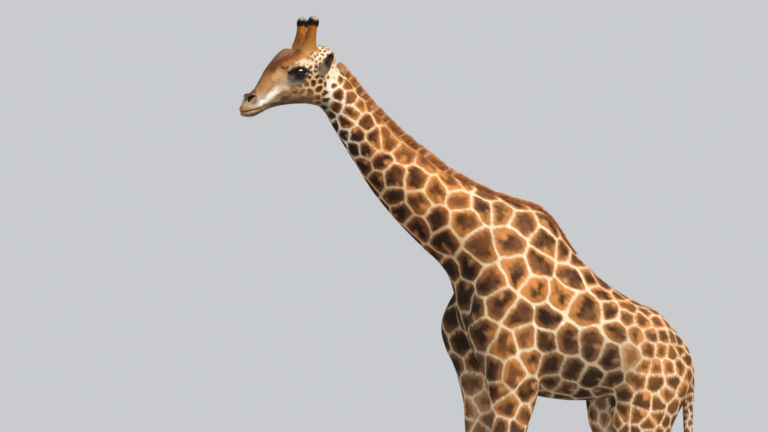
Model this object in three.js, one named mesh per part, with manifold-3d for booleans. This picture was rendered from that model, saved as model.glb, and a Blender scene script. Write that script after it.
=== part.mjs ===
// A life-size bull giraffe, standing square with its neck stretched forward and its head lowered a little.
// Millimetres, +Z up, the animal facing -X with its left side towards -Y. The sizes below are written with
// x = 0 under the top of the withers and z = 0 at the floor. The exported group is then moved so that the
// origin is at the middle of the footprint of the whole animal, on the floor.
import * as THREE from "three";
import { mergeVertices } from "three/addons/utils/BufferGeometryUtils.js";
import Module from "manifold-3d";

const wasm = await Module();
wasm.setup();

const GAP = 0.3; // between two pieces that meet
const FAR = 6000; // longer than the animal in every direction
const LEFT = -1;
const RIGHT = 1;

// ---- Driving sizes -------------------------------------------------------------------------------------

const LEG_CUT = 1895; // height at which the legs leave the trunk
const FORE_REACH = 2150; // a leg swings from this height down
const HIND_REACH = 2050;
const STRIDE = { fore: { left: 0, right: -95 }, hind: { left: 0, right: 120 } };

const HEAD_CUT = { low: [-1446, 3570], high: [-1290, 3984] }; // behind the jaw, seen from the side
const NECK_CUT = { low: [-690, 2440], high: [-160, 3240] }; // in front of the shoulders

const EYE = { x: -1626, y: 93, z: 3890, radius: 26 };
const LIDS = { proud: 30, radii: [27, 16, 15], pitch: 0.2 }; // the opening between them
const NOSTRIL = { x: -1922, y: 55, z: 3732, radii: [20, 16, 8], pitch: 0.9 };
const MOUTH = { front: [-2016, 3650], middle: [-1945, 3647], corner: [-1863, 3673], open: 5 };
const OSSICONE = { base: [-1576, 72, 3986], tip: [-1538, 92, 4226] };
const EAR = { base: [-1498, 94, 3866], length: 178, width: 68, thick: 34, rim: 7, floor: 10 };
const MANE = { height: 46, half: 13, root: 40 };
const MANE_START = { share: 0.55, gain: 0.3 }; // share of its height at each end, and its gain per station
const MANE_END = { share: 0.14, gain: 0.22 };

// Stations of a body that runs from nose to tail, as
// [top x, top z, bottom x, bottom z, half width, height of the widest place (0 to 1), fullness].
const HEAD = [
  [-1964, 3698, -1964, 3644, 36, 0.5, 2.3], // lips
  [-1944, 3740, -1938, 3622, 52, 0.5, 2.3],
  [-1914, 3767, -1902, 3621, 59, 0.55, 2.3], // nostrils
  [-1882, 3799, -1852, 3642, 57, 0.5, 2.2],
  [-1852, 3848, -1800, 3667, 58, 0.52, 2.1],
  [-1818, 3907, -1744, 3685, 67, 0.55, 2.1],
  [-1780, 3955, -1690, 3695, 80, 0.58, 2.1],
  [-1736, 4003, -1636, 3701, 93, 0.62, 2.1], // boss on the forehead, front of the eyes
  [-1688, 4029, -1584, 3703, 102, 0.64, 2.1],
  [-1618, 4035, -1538, 3701, 106, 0.64, 2.1],
  [-1546, 4049, -1500, 3692, 105, 0.62, 2.1], // ossicones
  [-1482, 4058, -1466, 3700, 98, 0.6, 2.1],
  [-1424, 4048, -1432, 3736, 84, 0.58, 2.1],
  [-1380, 4012, -1404, 3790, 62, 0.55, 2.1],
];
const NECK = [
  [-1440, 3944, -1492, 3700, 66, 0.5, 2.1],
  [-1352, 3926, -1436, 3648, 80, 0.5, 2.1],
  [-1280, 3852, -1384, 3570, 87, 0.5, 2.1],
  [-1206, 3764, -1332, 3490, 92, 0.5, 2.1],
  [-1124, 3674, -1274, 3402, 98, 0.5, 2.1],
  [-1028, 3584, -1206, 3302, 104, 0.5, 2.1],
  [-914, 3486, -1120, 3178, 110, 0.5, 2.1],
  [-794, 3400, -1016, 3056, 119, 0.5, 2.1],
  [-660, 3308, -902, 2940, 131, 0.5, 2.1],
  [-512, 3238, -792, 2840, 147, 0.49, 2.1],
  [-356, 3176, -694, 2756, 168, 0.48, 2.1],
  [-206, 3128, -624, 2664, 196, 0.46, 2.1],
  [-80, 3094, -586, 2552, 222, 0.44, 2.1], // front of the withers
];
const TRUNK = [
  [8, 3048, -558, 2430, 243, 0.42, 2.1],
  [82, 2958, -500, 2300, 262, 0.42, 2.15],
  [160, 2844, -410, 2164, 280, 0.42, 2.2],
  [244, 2762, -272, 2044, 302, 0.42, 2.2],
  [336, 2684, -96, 1964, 322, 0.42, 2.2],
  [434, 2611, 100, 1928, 332, 0.42, 2.25],
  [532, 2554, 290, 1926, 330, 0.43, 2.25],
  [626, 2512, 460, 1952, 312, 0.45, 2.25],
  [708, 2482, 610, 1992, 284, 0.48, 2.2], // croup
  [776, 2408, 730, 2022, 246, 0.5, 2.2],
  [846, 2326, 816, 2036, 198, 0.5, 2.2],
  [908, 2248, 878, 2048, 138, 0.5, 2.2],
  [944, 2184, 922, 2070, 74, 0.5, 2.1], // root of the tail
];

// Stations of a left leg from the top down, as
// [front x, front z, back x, back z, half width, y of the middle, fullness].
const FORELEG = [
  [-250, 2880, -20, 2880, 40, -150, 2], // top of the shoulder blade
  [-380, 2760, 8, 2760, 66, -172, 2],
  [-500, 2620, 4, 2620, 84, -190, 2.1],
  [-572, 2480, -22, 2480, 98, -200, 2.2],
  [-590, 2360, -70, 2360, 104, -204, 2.2], // point of the shoulder
  [-562, 2240, -92, 2240, 106, -204, 2.2],
  [-506, 2120, -106, 2120, 100, -202, 2.2],
  [-468, 2010, -132, 2010, 92, -199, 2.2],
  [-446, 1910, -148, 1910, 82, -195, 2.2], // elbow
  [-432, 1790, -190, 1790, 73, -191, 2.1],
  [-421, 1640, -222, 1640, 66, -187, 2.1],
  [-411, 1470, -250, 1470, 59, -183, 2.1],
  [-403, 1300, -272, 1300, 53, -180, 2.1],
  [-402, 1160, -284, 1160, 51, -178, 2.2],
  [-411, 1080, -282, 1080, 57, -177, 2.4],
  [-420, 1010, -276, 1010, 63, -176, 2.5], // knee
  [-417, 945, -276, 945, 60, -176, 2.4],
  [-403, 870, -288, 870, 50, -176, 2.2],
  [-393, 740, -299, 740, 42, -176, 2.1],
  [-389, 560, -300, 560, 40, -176, 2.1],
  [-391, 410, -297, 410, 42, -176, 2.1],
  [-398, 320, -280, 320, 51, -176, 2.2],
  [-406, 262, -270, 262, 57, -176, 2.3], // fetlock
  [-416, 208, -284, 200, 54, -176, 2.3],
  [-436, 165, -296, 132, 56, -176, 2.4],
  [-464, 128, -290, 62, 66, -176, 2.5], // coronet
];
const HINDLEG = [
  [560, 2420, 740, 2420, 40, -122, 2], // hip
  [478, 2320, 826, 2320, 74, -152, 2],
  [418, 2205, 884, 2205, 98, -174, 2.1],
  [378, 2090, 898, 2090, 112, -186, 2.2],
  [358, 1980, 870, 1980, 114, -190, 2.2],
  [354, 1880, 816, 1880, 108, -192, 2.2],
  [364, 1790, 764, 1790, 99, -193, 2.2], // stifle
  [392, 1700, 736, 1700, 89, -192, 2.1],
  [440, 1590, 728, 1590, 77, -189, 2.1],
  [502, 1460, 742, 1460, 65, -185, 2.1],
  [566, 1330, 772, 1330, 55, -181, 2.1],
  [620, 1215, 812, 1215, 48, -178, 2.1],
  [656, 1130, 858, 1145, 46, -176, 2.1],
  [682, 1060, 868, 1078, 53, -175, 2.2], // hock
  [700, 985, 846, 985, 57, -175, 2.3],
  [712, 900, 828, 900, 51, -175, 2.2],
  [720, 780, 820, 780, 43, -175, 2.1],
  [724, 600, 816, 600, 40, -175, 2.1],
  [723, 430, 817, 430, 42, -175, 2.1],
  [716, 325, 830, 325, 51, -175, 2.2],
  [708, 265, 838, 265, 56, -175, 2.3], // fetlock
  [696, 208, 826, 200, 53, -175, 2.3],
  [674, 165, 812, 132, 55, -175, 2.4],
  [646, 128, 814, 62, 64, -175, 2.5], // coronet
];
const HOOF = { grow: 62, heel: 16, half: 42, apart: 46, topHalf: 31, topApart: 34, bevel: 6, inset: 4 };
const HOOF_FULLNESS = 2.6;

const TAIL = [
  [846, 2262, 906, 2290, 34, 0, 2],
  [868, 2190, 962, 2214, 40, 0, 2], // root
  [890, 2120, 986, 2124, 37, 0, 2],
  [906, 2020, 990, 2020, 33, 0, 2],
  [914, 1880, 984, 1880, 29, 0, 2],
  [921, 1700, 977, 1700, 24, 0, 2],
  [927, 1500, 972, 1500, 19, 0, 2],
  [932, 1300, 968, 1300, 16, 0, 2],
];
const TUFT = [
  [934, 1299.7, 966, 1299.7, 15, 0, 2],
  [922, 1220, 978, 1220, 27, 0, 2],
  [908, 1110, 990, 1110, 40, 0, 2],
  [900, 980, 996, 980, 46, 0, 2],
  [906, 850, 992, 850, 40, 0, 2],
  [922, 740, 980, 740, 27, 0, 2],
  [940, 660, 964, 660, 10, 0, 2],
];

// ---- Solids --------------------------------------------------------------------------------------------

// A closed geometry as a solid that can be cut and joined.
function solidOf(geometry) {
  const bare = new THREE.BufferGeometry();
  bare.setAttribute("position", geometry.getAttribute("position"));
  if (geometry.index) bare.setIndex(geometry.index);
  const merged = mergeVertices(bare, 1e-3);
  const corners = merged.index.array;
  const kept = [];
  for (let i = 0; i < corners.length; i += 3) {
    const [a, b, c] = corners.slice(i, i + 3);
    if (a !== b && b !== c && c !== a) kept.push(a, b, c);
  }
  const vertProperties = new Float32Array(merged.attributes.position.array);
  const make = (order) =>
    new wasm.Manifold(
      new wasm.Mesh({ numProp: 3, vertProperties, triVerts: new Uint32Array(order) }),
    );
  const made = make(kept);
  return made.volume() < 0 ? make(kept.reverse()) : made;
}

function joined(...solids) {
  return solids.reduce((all, one) => all.add(one));
}

// Rows of numbers between the stations, on a smooth curve through every column.
function smoothRows(stations, steps) {
  const middle = (s) => new THREE.Vector2((s[0] + s[2]) / 2, (s[1] + s[3]) / 2);
  const at = [0];
  for (let i = 1; i < stations.length; i++)
    at.push(at[i - 1] + middle(stations[i]).distanceTo(middle(stations[i - 1])));
  const last = stations.length - 1;
  const slope = (i, k) => {
    if (i === 0) return (stations[1][k] - stations[0][k]) / (at[1] - at[0]);
    if (i === last) return (stations[i][k] - stations[i - 1][k]) / (at[i] - at[i - 1]);
    const before = at[i] - at[i - 1];
    const after = at[i + 1] - at[i];
    const rising = (stations[i + 1][k] - stations[i][k]) / after;
    const risen = (stations[i][k] - stations[i - 1][k]) / before;
    return (rising * before + risen * after) / (before + after);
  };
  const rows = [];
  for (let i = 0; i < last; i++) {
    const gap = at[i + 1] - at[i];
    for (let j = 0; j < steps; j++) {
      const t = j / steps;
      const [t2, t3] = [t * t, t * t * t];
      rows.push(
        stations[i].map(
          (value, k) =>
            value * (2 * t3 - 3 * t2 + 1) +
            slope(i, k) * gap * (t3 - 2 * t2 + t) +
            stations[i + 1][k] * (3 * t2 - 2 * t3) +
            slope(i + 1, k) * gap * (t3 - t2),
        ),
      );
    }
  }
  rows.push(stations[last]);
  return rows;
}

// One ring of points: a rounded section between a top and a bottom point, widest at a share of its height.
function ring({ top, bottom, half, y, widest, power }, around, grow) {
  const [dx, dz] = [top[0] - bottom[0], top[1] - bottom[1]];
  const height = Math.hypot(dx, dz);
  const points = [];
  for (let k = 0; k < around; k++) {
    const angle = (2 * Math.PI * k) / around;
    const [c, s] = [Math.cos(angle), Math.sin(angle)];
    const side = Math.sign(c) * Math.abs(c) ** (2 / power) * (half + grow);
    const rise = Math.sign(s) * Math.abs(s) ** (2 / power);
    const share = widest + (rise > 0 ? 1 - widest : widest) * rise;
    const reach = share + (rise * grow) / height;
    points.push(new THREE.Vector3(bottom[0] + dx * reach, y + side, bottom[1] + dz * reach));
  }
  return points;
}

// The skin over a row of rings, closed at both ends, which bulge by the given depths.
function loft(rings, startDepth, endDepth) {
  const middle = (points) =>
    points.reduce((sum, p) => sum.add(p), new THREE.Vector3()).divideScalar(points.length);
  const dome = (end, before, depth) => {
    const centre = middle(end);
    const out = centre.clone().sub(middle(before)).normalize();
    const added = [];
    for (const angle of depth ? [Math.PI / 6, Math.PI / 3] : []) {
      const push = out.clone().multiplyScalar(depth * Math.sin(angle));
      added.push(end.map((p) => p.clone().lerp(centre, 1 - Math.cos(angle)).add(push)));
    }
    return { added, pole: centre.addScaledVector(out, depth) };
  };
  const first = dome(rings[0], rings[1], startDepth);
  const final = dome(rings.at(-1), rings.at(-2), endDepth);
  const all = [...first.added.reverse(), ...rings, ...final.added];
  const around = rings[0].length;
  const positions = [...all.flat(), first.pole, final.pole].flatMap((p) => [p.x, p.y, p.z]);
  const index = [];
  const startPole = all.length * around;
  for (let k = 0; k < around; k++) {
    const next = (k + 1) % around;
    for (let r = 0; r + 1 < all.length; r++) {
      const [a, b] = [r * around + k, r * around + next];
      index.push(a, b, b + around, a, b + around, a + around);
    }
    const end = (all.length - 1) * around;
    index.push(startPole, next, k, startPole + 1, end + k, end + next);
  }
  const geometry = new THREE.BufferGeometry();
  geometry.setAttribute("position", new THREE.Float32BufferAttribute(positions, 3));
  geometry.setIndex(index);
  return geometry;
}

// A body part that runs from nose to tail and is the same on both sides.
function spineLoft(stations, { around, steps, grow = 0, startDepth = 0, endDepth = 0 }) {
  const rings = smoothRows(stations, steps).map(([tx, tz, bx, bz, half, widest, power]) =>
    ring({ top: [tx, tz], bottom: [bx, bz], half, y: 0, widest, power }, around, grow),
  );
  return loft(rings, startDepth, endDepth);
}

// A limb that hangs down, its stations given by their front and back points.
function limbLoft(stations, { around, steps, side = LEFT, startDepth = 0, endDepth = 0 }) {
  const rings = smoothRows(stations, steps).map(([fx, fz, bx, bz, half, y, power]) =>
    ring({ top: [fx, fz], bottom: [bx, bz], half, y: -side * y, widest: 0.5, power }, around, 0),
  );
  return loft(rings, startDepth, endDepth);
}

// Slants a leg below the height where it swings, and keeps its heights.
function swing(geometry, step, reach) {
  const p = geometry.getAttribute("position");
  for (let i = 0; i < p.count; i++)
    p.setX(i, p.getX(i) + step * Math.max(0, 1 - p.getZ(i) / reach));
  return geometry;
}

function ellipsoid([x, y, z], [rx, ry, rz], pitch = 0, round = 20) {
  return new THREE.SphereGeometry(1, round, round * 0.6)
    .scale(rx, ry, rz)
    .rotateY(pitch)
    .translate(x, y, z);
}

// The two parts of a solid in front of and behind a cut, which is a line from low to high in side view.
function partAt(solid, { low, high }) {
  const across = new THREE.Vector2(high[0] - low[0], high[1] - low[1]);
  const lean = Math.atan2(across.x, across.y);
  const behind = (offset) =>
    solidOf(
      new THREE.BoxGeometry(FAR, FAR, FAR)
        .translate(FAR / 2 + offset, 0, 0)
        .rotateY(lean)
        .translate(low[0], 0, low[1]),
    );
  return [solid.subtract(behind(-GAP / 2)), solid.intersect(behind(GAP / 2))];
}

function below(height) {
  return solidOf(new THREE.BoxGeometry(FAR, FAR, FAR).translate(0, 0, height - FAR / 2));
}

// ---- Head ----------------------------------------------------------------------------------------------

// Bony and fleshy forms that stand out of the plain head, each as [centre, radii, pitch].
function headForms(side) {
  return [
    [[-1632, side * 84, 3922], [62, 34, 26], 0.3], // brow over the eye
    [[-1626, side * 84, 3888], [46, 32, 38], 0], // lids
    [[-1914, side * 36, 3738], [34, 24, 24], 0.8], // rim of the nostril
    [[-1536, side * 58, 3778], [92, 40, 60], 0], // jaw muscle
  ];
}

function plainHead(grow = 0) {
  const forms = [LEFT, RIGHT].flatMap(headForms);
  forms.push([[-1944, 0, 3642], [34, 42, 22], 0.3]); // chin and lower lip
  const grown = (radii) => radii.map((r) => r + grow);
  return joined(
    solidOf(spineLoft(HEAD, { around: 18, steps: 1, grow, startDepth: 14, endDepth: 20 })),
    ...forms.map(([at, radii, pitch]) => solidOf(ellipsoid(at, grown(radii), pitch, 9))),
  );
}

// What is cut out of one side of the head: the eye's opening and the nostril.
function headHollows(side) {
  const opening = ellipsoid([EYE.x, side * (EYE.y + LIDS.proud), EYE.z], LIDS.radii, LIDS.pitch, 10);
  const nostril = ellipsoid([NOSTRIL.x, side * NOSTRIL.y, NOSTRIL.z], NOSTRIL.radii, NOSTRIL.pitch, 10);
  const socket = ellipsoid([EYE.x, side * EYE.y, EYE.z], Array(3).fill(EYE.radius + GAP), 0, 12);
  return joined(...[opening, nostril, socket].map(solidOf));
}

// The slit of the mouth, from the lips back to the corners.
function mouthSlit() {
  const { front, middle, corner, open } = MOUTH;
  const width = 200; // more than the muzzle's
  const line = new THREE.Shape();
  line.moveTo(front[0], front[1]);
  line.quadraticCurveTo(middle[0], middle[1], corner[0], corner[1]);
  line.lineTo(corner[0], corner[1] + open / 2);
  line.quadraticCurveTo(middle[0], middle[1] + open, front[0], front[1] + open);
  const slab = new THREE.ExtrudeGeometry(line, { depth: width, bevelEnabled: false, curveSegments: 4 });
  return solidOf(slab.rotateX(Math.PI / 2).translate(0, width / 2, 0));
}

// A horn of bone under skin, thick at its root, waisted, and knobbed at its bare top.
function ossicone(side) {
  const base = new THREE.Vector3(OSSICONE.base[0], side * OSSICONE.base[1], OSSICONE.base[2]);
  const tip = new THREE.Vector3(OSSICONE.tip[0], side * OSSICONE.tip[1], OSSICONE.tip[2]);
  const length = base.distanceTo(tip);
  // Its radius at each share of its length.
  const outline = [
    [66, 0],
    [56, 0.18],
    [41, 0.36],
    [33, 0.55],
    [31, 0.72],
    [35, 0.86],
    [33, 0.94],
    [21, 0.99],
    [0, 1],
  ].map(([radius, share]) => new THREE.Vector2(radius, share * length));
  const upright = new THREE.Vector3(0, 1, 0);
  const turn = new THREE.Quaternion().setFromUnitVectors(upright, tip.sub(base).normalize());
  return solidOf(
    new THREE.LatheGeometry([new THREE.Vector2(0, 0), ...outline], 14)
      .applyQuaternion(turn)
      .translate(base.x, base.y, base.z),
  );
}

// A leaf-shaped ear, hollowed on the side that faces forwards and outwards.
function ear(side) {
  const { length, width, thick, rim, floor } = EAR;
  const [rows, around] = [7, 8];
  const edge = 3; // half the thickness of the leaf where it tapers out
  const [rootDome, tipDome] = [0.06 * length, 0.1 * length];
  const leaf = (long, wide, shift) => {
    const rings = [];
    for (let i = 1; i < rows; i++) {
      const t = i / rows;
      const spread = Math.sin(Math.PI * t ** 0.8) ** 0.8 * (1 - 0.25 * t); // broadest below its middle
      const [w, d] = [(wide / 2) * spread + edge, (thick / 2) * spread + edge];
      const points = [];
      for (let k = 0; k < around; k++) {
        const a = (2 * Math.PI * k) / around;
        points.push(new THREE.Vector3(w * Math.cos(a), d * Math.sin(a) + shift, t * long));
      }
      rings.push(points);
    }
    return loft(rings, rootDome, tipDome);
  };
  const hollow = leaf(length - 1.5 * rim, width - 2 * rim, floor).translate(0, 0, 1.3 * rim);
  const cup = solidOf(leaf(length, width, 0)).subtract(solidOf(hollow));
  const along = new THREE.Vector3(0.16, side * 0.66, 0.74).normalize();
  const open = new THREE.Vector3(-0.84, side * 0.4, -0.25);
  open.addScaledVector(along, -open.dot(along)).normalize();
  const across = new THREE.Vector3().crossVectors(open, along);
  const place = new THREE.Matrix4().makeBasis(across, open, along);
  place.setPosition(EAR.base[0], side * EAR.base[1], EAR.base[2]);
  return cup.transform(place.elements);
}

// ---- Neck, trunk and tail ------------------------------------------------------------------------------

const BODY = [...NECK, ...TRUNK];

function plainBody(grow = 0) {
  return solidOf(spineLoft(BODY, { around: 24, steps: 1, grow, startDepth: 30, endDepth: 22 }));
}

// The upright brush of hair along the top of the neck.
function mane() {
  const line = NECK.slice(1, 13).map(([tx, tz, bx, bz]) => {
    const up = new THREE.Vector2(tx - bx, tz - bz).normalize();
    return { x: tx, z: tz, up };
  });
  const last = line.length - 1;
  const rings = line.map(({ x, z, up }, i) => {
    const front = MANE_START.share + i * MANE_START.gain;
    const back = MANE_END.share + (last - i) * MANE_END.gain;
    const high = MANE.height * Math.min(1, front, back);
    return ring(
      {
        top: [x + up.x * high, z + up.y * high],
        bottom: [x - up.x * MANE.root, z - up.y * MANE.root],
        half: MANE.half,
        y: 0,
        widest: 0.4,
        power: 2.2,
      },
      8,
      0,
    );
  });
  const dome = MANE.half / 2;
  return solidOf(loft(rings, dome, dome));
}

// ---- Legs ----------------------------------------------------------------------------------------------

const LEGS = [
  { name: "foreleg_left", stations: FORELEG, side: LEFT, step: STRIDE.fore.left, reach: FORE_REACH },
  { name: "foreleg_right", stations: FORELEG, side: RIGHT, step: STRIDE.fore.right, reach: FORE_REACH },
  { name: "hindleg_left", stations: HINDLEG, side: LEFT, step: STRIDE.hind.left, reach: HIND_REACH },
  { name: "hindleg_right", stations: HINDLEG, side: RIGHT, step: STRIDE.hind.right, reach: HIND_REACH },
];

function wholeLeg({ stations, side, step, reach }) {
  return solidOf(swing(limbLoft(stations, { around: 12, steps: 1, side, startDepth: 12 }), step, reach));
}

// One of the two claws of a hoof, from the coronet down to its flat sole.
function claw({ stations, side, step, reach }, outer) {
  const [fx, fz, bx, bz, , y] = stations.at(-1);
  const away = (apart) => y - outer * apart;
  const { grow, heel, half, apart, topHalf, topApart, bevel, inset } = HOOF;
  const middleHalf = (half + topHalf) / 2;
  const middleApart = (apart + topApart) / 2;
  const rows = [
    [fx, fz - GAP, bx, bz - GAP, topHalf, away(topApart), HOOF_FULLNESS],
    [fx - grow / 2, fz / 2, bx + heel / 2, bz / 2, middleHalf, away(middleApart), HOOF_FULLNESS],
    [fx - grow, bevel, bx + heel, bevel, half, away(apart), HOOF_FULLNESS],
    [fx - grow + inset, 0, bx + heel - inset, 0, half - inset, away(apart), HOOF_FULLNESS],
  ];
  return solidOf(swing(limbLoft(rows, { around: 10, steps: 1, side }), step, reach));
}

// ---- Assembly ------------------------------------------------------------------------------------------

const MATERIALS = {
  coat: new THREE.MeshStandardMaterial({ name: "coat", color: 0xa8642f, roughness: 0.85 }),
  mane: new THREE.MeshStandardMaterial({ name: "mane", color: 0x8a4a22, roughness: 0.9 }),
  tuft: new THREE.MeshStandardMaterial({ name: "tuft", color: 0x1c1614, roughness: 0.8 }),
  horn: new THREE.MeshStandardMaterial({ name: "horn", color: 0x3a302a, roughness: 0.5 }),
  eye: new THREE.MeshStandardMaterial({ name: "eye", color: 0x140c08, roughness: 0.08 }),
};

const giraffe = new THREE.Group();
giraffe.name = "giraffe";

function add(name, solid, material) {
  const mesh = solid.getMesh();
  const geometry = new THREE.BufferGeometry();
  geometry.setAttribute("position", new THREE.Float32BufferAttribute(mesh.vertProperties, 3));
  geometry.setIndex([...mesh.triVerts]);
  geometry.computeVertexNormals();
  const made = new THREE.Mesh(geometry, material);
  made.name = name;
  giraffe.add(made);
}

const wholeLegs = LEGS.map(wholeLeg);
const body = joined(plainBody(), ...wholeLegs).subtract(below(LEG_CUT + GAP / 2));
const headAndBody = joined(plainHead(), body);
const [headPart, rest] = partAt(headAndBody, HEAD_CUT);
const [neckPart, trunkPart] = partAt(rest, NECK_CUT);
const hollows = joined(headHollows(LEFT), headHollows(RIGHT), mouthSlit());
const head = headPart.subtract(hollows);
const grown = joined(plainHead(2 * GAP), plainBody(2 * GAP)); // what the smaller pieces rest on

add("head", head, MATERIALS.coat);
add("neck", neckPart, MATERIALS.coat);
add("trunk", trunkPart, MATERIALS.coat);

for (const [label, side] of [["left", LEFT], ["right", RIGHT]]) {
  const eye = ellipsoid([EYE.x, side * EYE.y, EYE.z], Array(3).fill(EYE.radius), 0, 12);
  add("eye_" + label, solidOf(eye), MATERIALS.eye);
  add("ossicone_" + label, ossicone(side).subtract(grown), MATERIALS.coat);
  add("ear_" + label, ear(side).subtract(grown), MATERIALS.coat);
}

add("mane", mane().subtract(grown), MATERIALS.mane);
add("tail", solidOf(limbLoft(TAIL, { around: 8, steps: 1 })).subtract(grown), MATERIALS.coat);
add("tail_tuft", solidOf(limbLoft(TUFT, { around: 10, steps: 1, endDepth: 8 })), MATERIALS.tuft);

LEGS.forEach((leg, i) => {
  add(leg.name, wholeLegs[i].intersect(below(LEG_CUT - GAP / 2)), MATERIALS.coat);
  add(leg.name + "_outer_claw", claw(leg, 1), MATERIALS.horn);
  add(leg.name + "_inner_claw", claw(leg, -1), MATERIALS.horn);
});

const bounds = new THREE.Box3().setFromObject(giraffe);
const centre = bounds.getCenter(new THREE.Vector3());
giraffe.position.set(-centre.x, -centre.y, -bounds.min.z);

export default giraffe;
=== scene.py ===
"""The looks of a life-size bull giraffe: one skin over the flesh, with its markings, coat, mane and eyes.

Lengths are in metres. Shapes are written in the animal's own frame: x = 0 under the top of the withers,
z = 0 at the floor, the head towards -X and the animal's left side towards -Y. SHIFT moves them to the
frame of the CAD.
"""

import itertools
import math

import bmesh
import bpy
import numpy as np
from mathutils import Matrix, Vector, kdtree


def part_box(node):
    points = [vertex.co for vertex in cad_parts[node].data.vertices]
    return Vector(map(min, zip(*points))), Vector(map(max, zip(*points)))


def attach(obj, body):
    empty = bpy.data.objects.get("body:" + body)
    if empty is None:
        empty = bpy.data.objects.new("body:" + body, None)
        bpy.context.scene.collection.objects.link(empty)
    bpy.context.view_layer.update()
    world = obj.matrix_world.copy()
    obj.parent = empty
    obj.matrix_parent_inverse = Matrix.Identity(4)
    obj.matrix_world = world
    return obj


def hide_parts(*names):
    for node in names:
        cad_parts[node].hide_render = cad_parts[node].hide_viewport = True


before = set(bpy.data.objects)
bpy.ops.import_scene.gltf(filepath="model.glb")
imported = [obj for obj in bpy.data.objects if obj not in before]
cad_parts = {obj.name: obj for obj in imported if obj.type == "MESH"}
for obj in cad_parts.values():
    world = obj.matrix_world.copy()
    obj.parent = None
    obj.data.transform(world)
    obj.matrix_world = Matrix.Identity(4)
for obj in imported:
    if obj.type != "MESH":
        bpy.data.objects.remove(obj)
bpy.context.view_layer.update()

LEFT, RIGHT = -1, 1
SIDES = {"left": LEFT, "right": RIGHT}
MM = 0.001

# The eye's place ties the animal's own frame to the CAD frame.
EYE = np.array([-1.626, 0.093, 3.890])
eye_low, eye_high = (np.array(corner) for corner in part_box("eye_left"))
SHIFT = (eye_low + eye_high) / 2 - EYE * [1, LEFT, 1]

FLESH = ["head", "neck", "trunk", "tail"]
FLESH += [part + "_" + label for part in ("ear", "ossicone", "foreleg", "hindleg") for label in SIDES]


# ---- Numbers and noise ---------------------------------------------------------------------------------


def rise(value, low, high):
    """0 below low, 1 above high, and a smooth step between them."""
    t = np.clip((value - low) / (high - low), 0, 1)
    return t * t * (3 - 2 * t)


def unit(vectors):
    return vectors / np.maximum(np.linalg.norm(vectors, axis=-1, keepdims=True), 1e-9)


def srgb(*levels):
    """A colour given as it looks on a screen, 0 to 255, in the linear values that materials use."""
    share = np.array(levels, float) / 255
    return np.where(share <= 0.04045, share / 12.92, ((share + 0.055) / 1.055) ** 2.4)


def gauss(value, middle, width):
    """1 at the middle, falling off on both sides over the width."""
    return np.exp(-(((value - middle) / width) ** 2))


def run_of(line):
    """How far along a line each of its points is."""
    return np.concatenate([[0], np.cumsum(np.linalg.norm(np.diff(line, axis=0), axis=1))])


def along_line(at, values, spot):
    """The values at the spots along a line, from those at its points, column by column."""
    return np.stack([np.interp(spot, at, values[:, k]) for k in range(values.shape[1])], axis=1)


def side_points(flat, y=0.0):
    """Points from their x and z in the side view, and how far across they are."""
    return np.stack([flat[:, 0], np.broadcast_to(y, len(flat)), flat[:, 1]], axis=1)


def cover(layer, paint, amount):
    """Turns a layer of colours towards the paint, by an amount for each point."""
    layer += (paint - layer) * np.clip(amount, 0, 1)[:, None]


def lay(layer, levels, amount):
    """Covers a layer with one colour, given as it looks on a screen."""
    cover(layer, srgb(*levels), amount)


def noise(points, per_metre, seed=0):
    """Smooth noise from -1 to 1 at each point."""
    place = points * per_metre + 31.7
    cell = np.floor(place).astype(np.int64)
    part = place - cell
    part = part * part * (3 - 2 * part)
    total = np.zeros(len(points))
    for corner in itertools.product((0, 1), repeat=3):
        x, y, z = (cell + corner).T
        code = (x * 73856093) ^ (y * 19349663) ^ (z * 83492791) ^ ((seed + 1) * 2654435761)
        code = ((code ^ (code >> 15)) * 2246822519) & 0xFFFFFFFF
        code = ((code ^ (code >> 13)) * 3266489917) & 0xFFFFFFFF
        weight = np.prod(np.where(corner, part, 1 - part), axis=1)
        total += weight * ((code ^ (code >> 16)) / 0xFFFFFFFF * 2 - 1)
    return total


def noise_vectors(points, per_metre, seed):
    return np.stack([noise(points, per_metre, seed + k) for k in (11, 23, 37)], axis=1)


# ---- Driving sizes -------------------------------------------------------------------------------------

FORE_REACH, HIND_REACH = 2.150, 2.050  # a leg swings from here down
KNEE_HIGH, HOCK_HIGH = 1.00, 1.03
HEAD_CUT = np.array([[-1.446, 3.570], [-1.290, 3.984]])  # between head and neck, in x and z

# Stations of a body that runs from nose to tail, in millimetres, as
# [top x, top z, bottom x, bottom z, half width, height of the widest place (0 to 1), fullness].
HEAD = [
    [-1964, 3698, -1964, 3644, 36, 0.5, 2.3],
    [-1944, 3740, -1938, 3622, 52, 0.5, 2.3],
    [-1914, 3767, -1902, 3621, 59, 0.55, 2.3],
    [-1882, 3799, -1852, 3642, 57, 0.5, 2.2],
    [-1852, 3848, -1800, 3667, 58, 0.52, 2.1],
    [-1818, 3907, -1744, 3685, 67, 0.55, 2.1],
    [-1780, 3955, -1690, 3695, 80, 0.58, 2.1],
    [-1736, 4003, -1636, 3701, 93, 0.62, 2.1],
    [-1688, 4029, -1584, 3703, 102, 0.64, 2.1],
    [-1618, 4035, -1538, 3701, 106, 0.64, 2.1],
    [-1546, 4049, -1500, 3692, 105, 0.62, 2.1],
    [-1482, 4058, -1466, 3700, 98, 0.6, 2.1],
    [-1424, 4048, -1432, 3736, 84, 0.58, 2.1],
    [-1380, 4012, -1404, 3790, 62, 0.55, 2.1],
]
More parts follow.
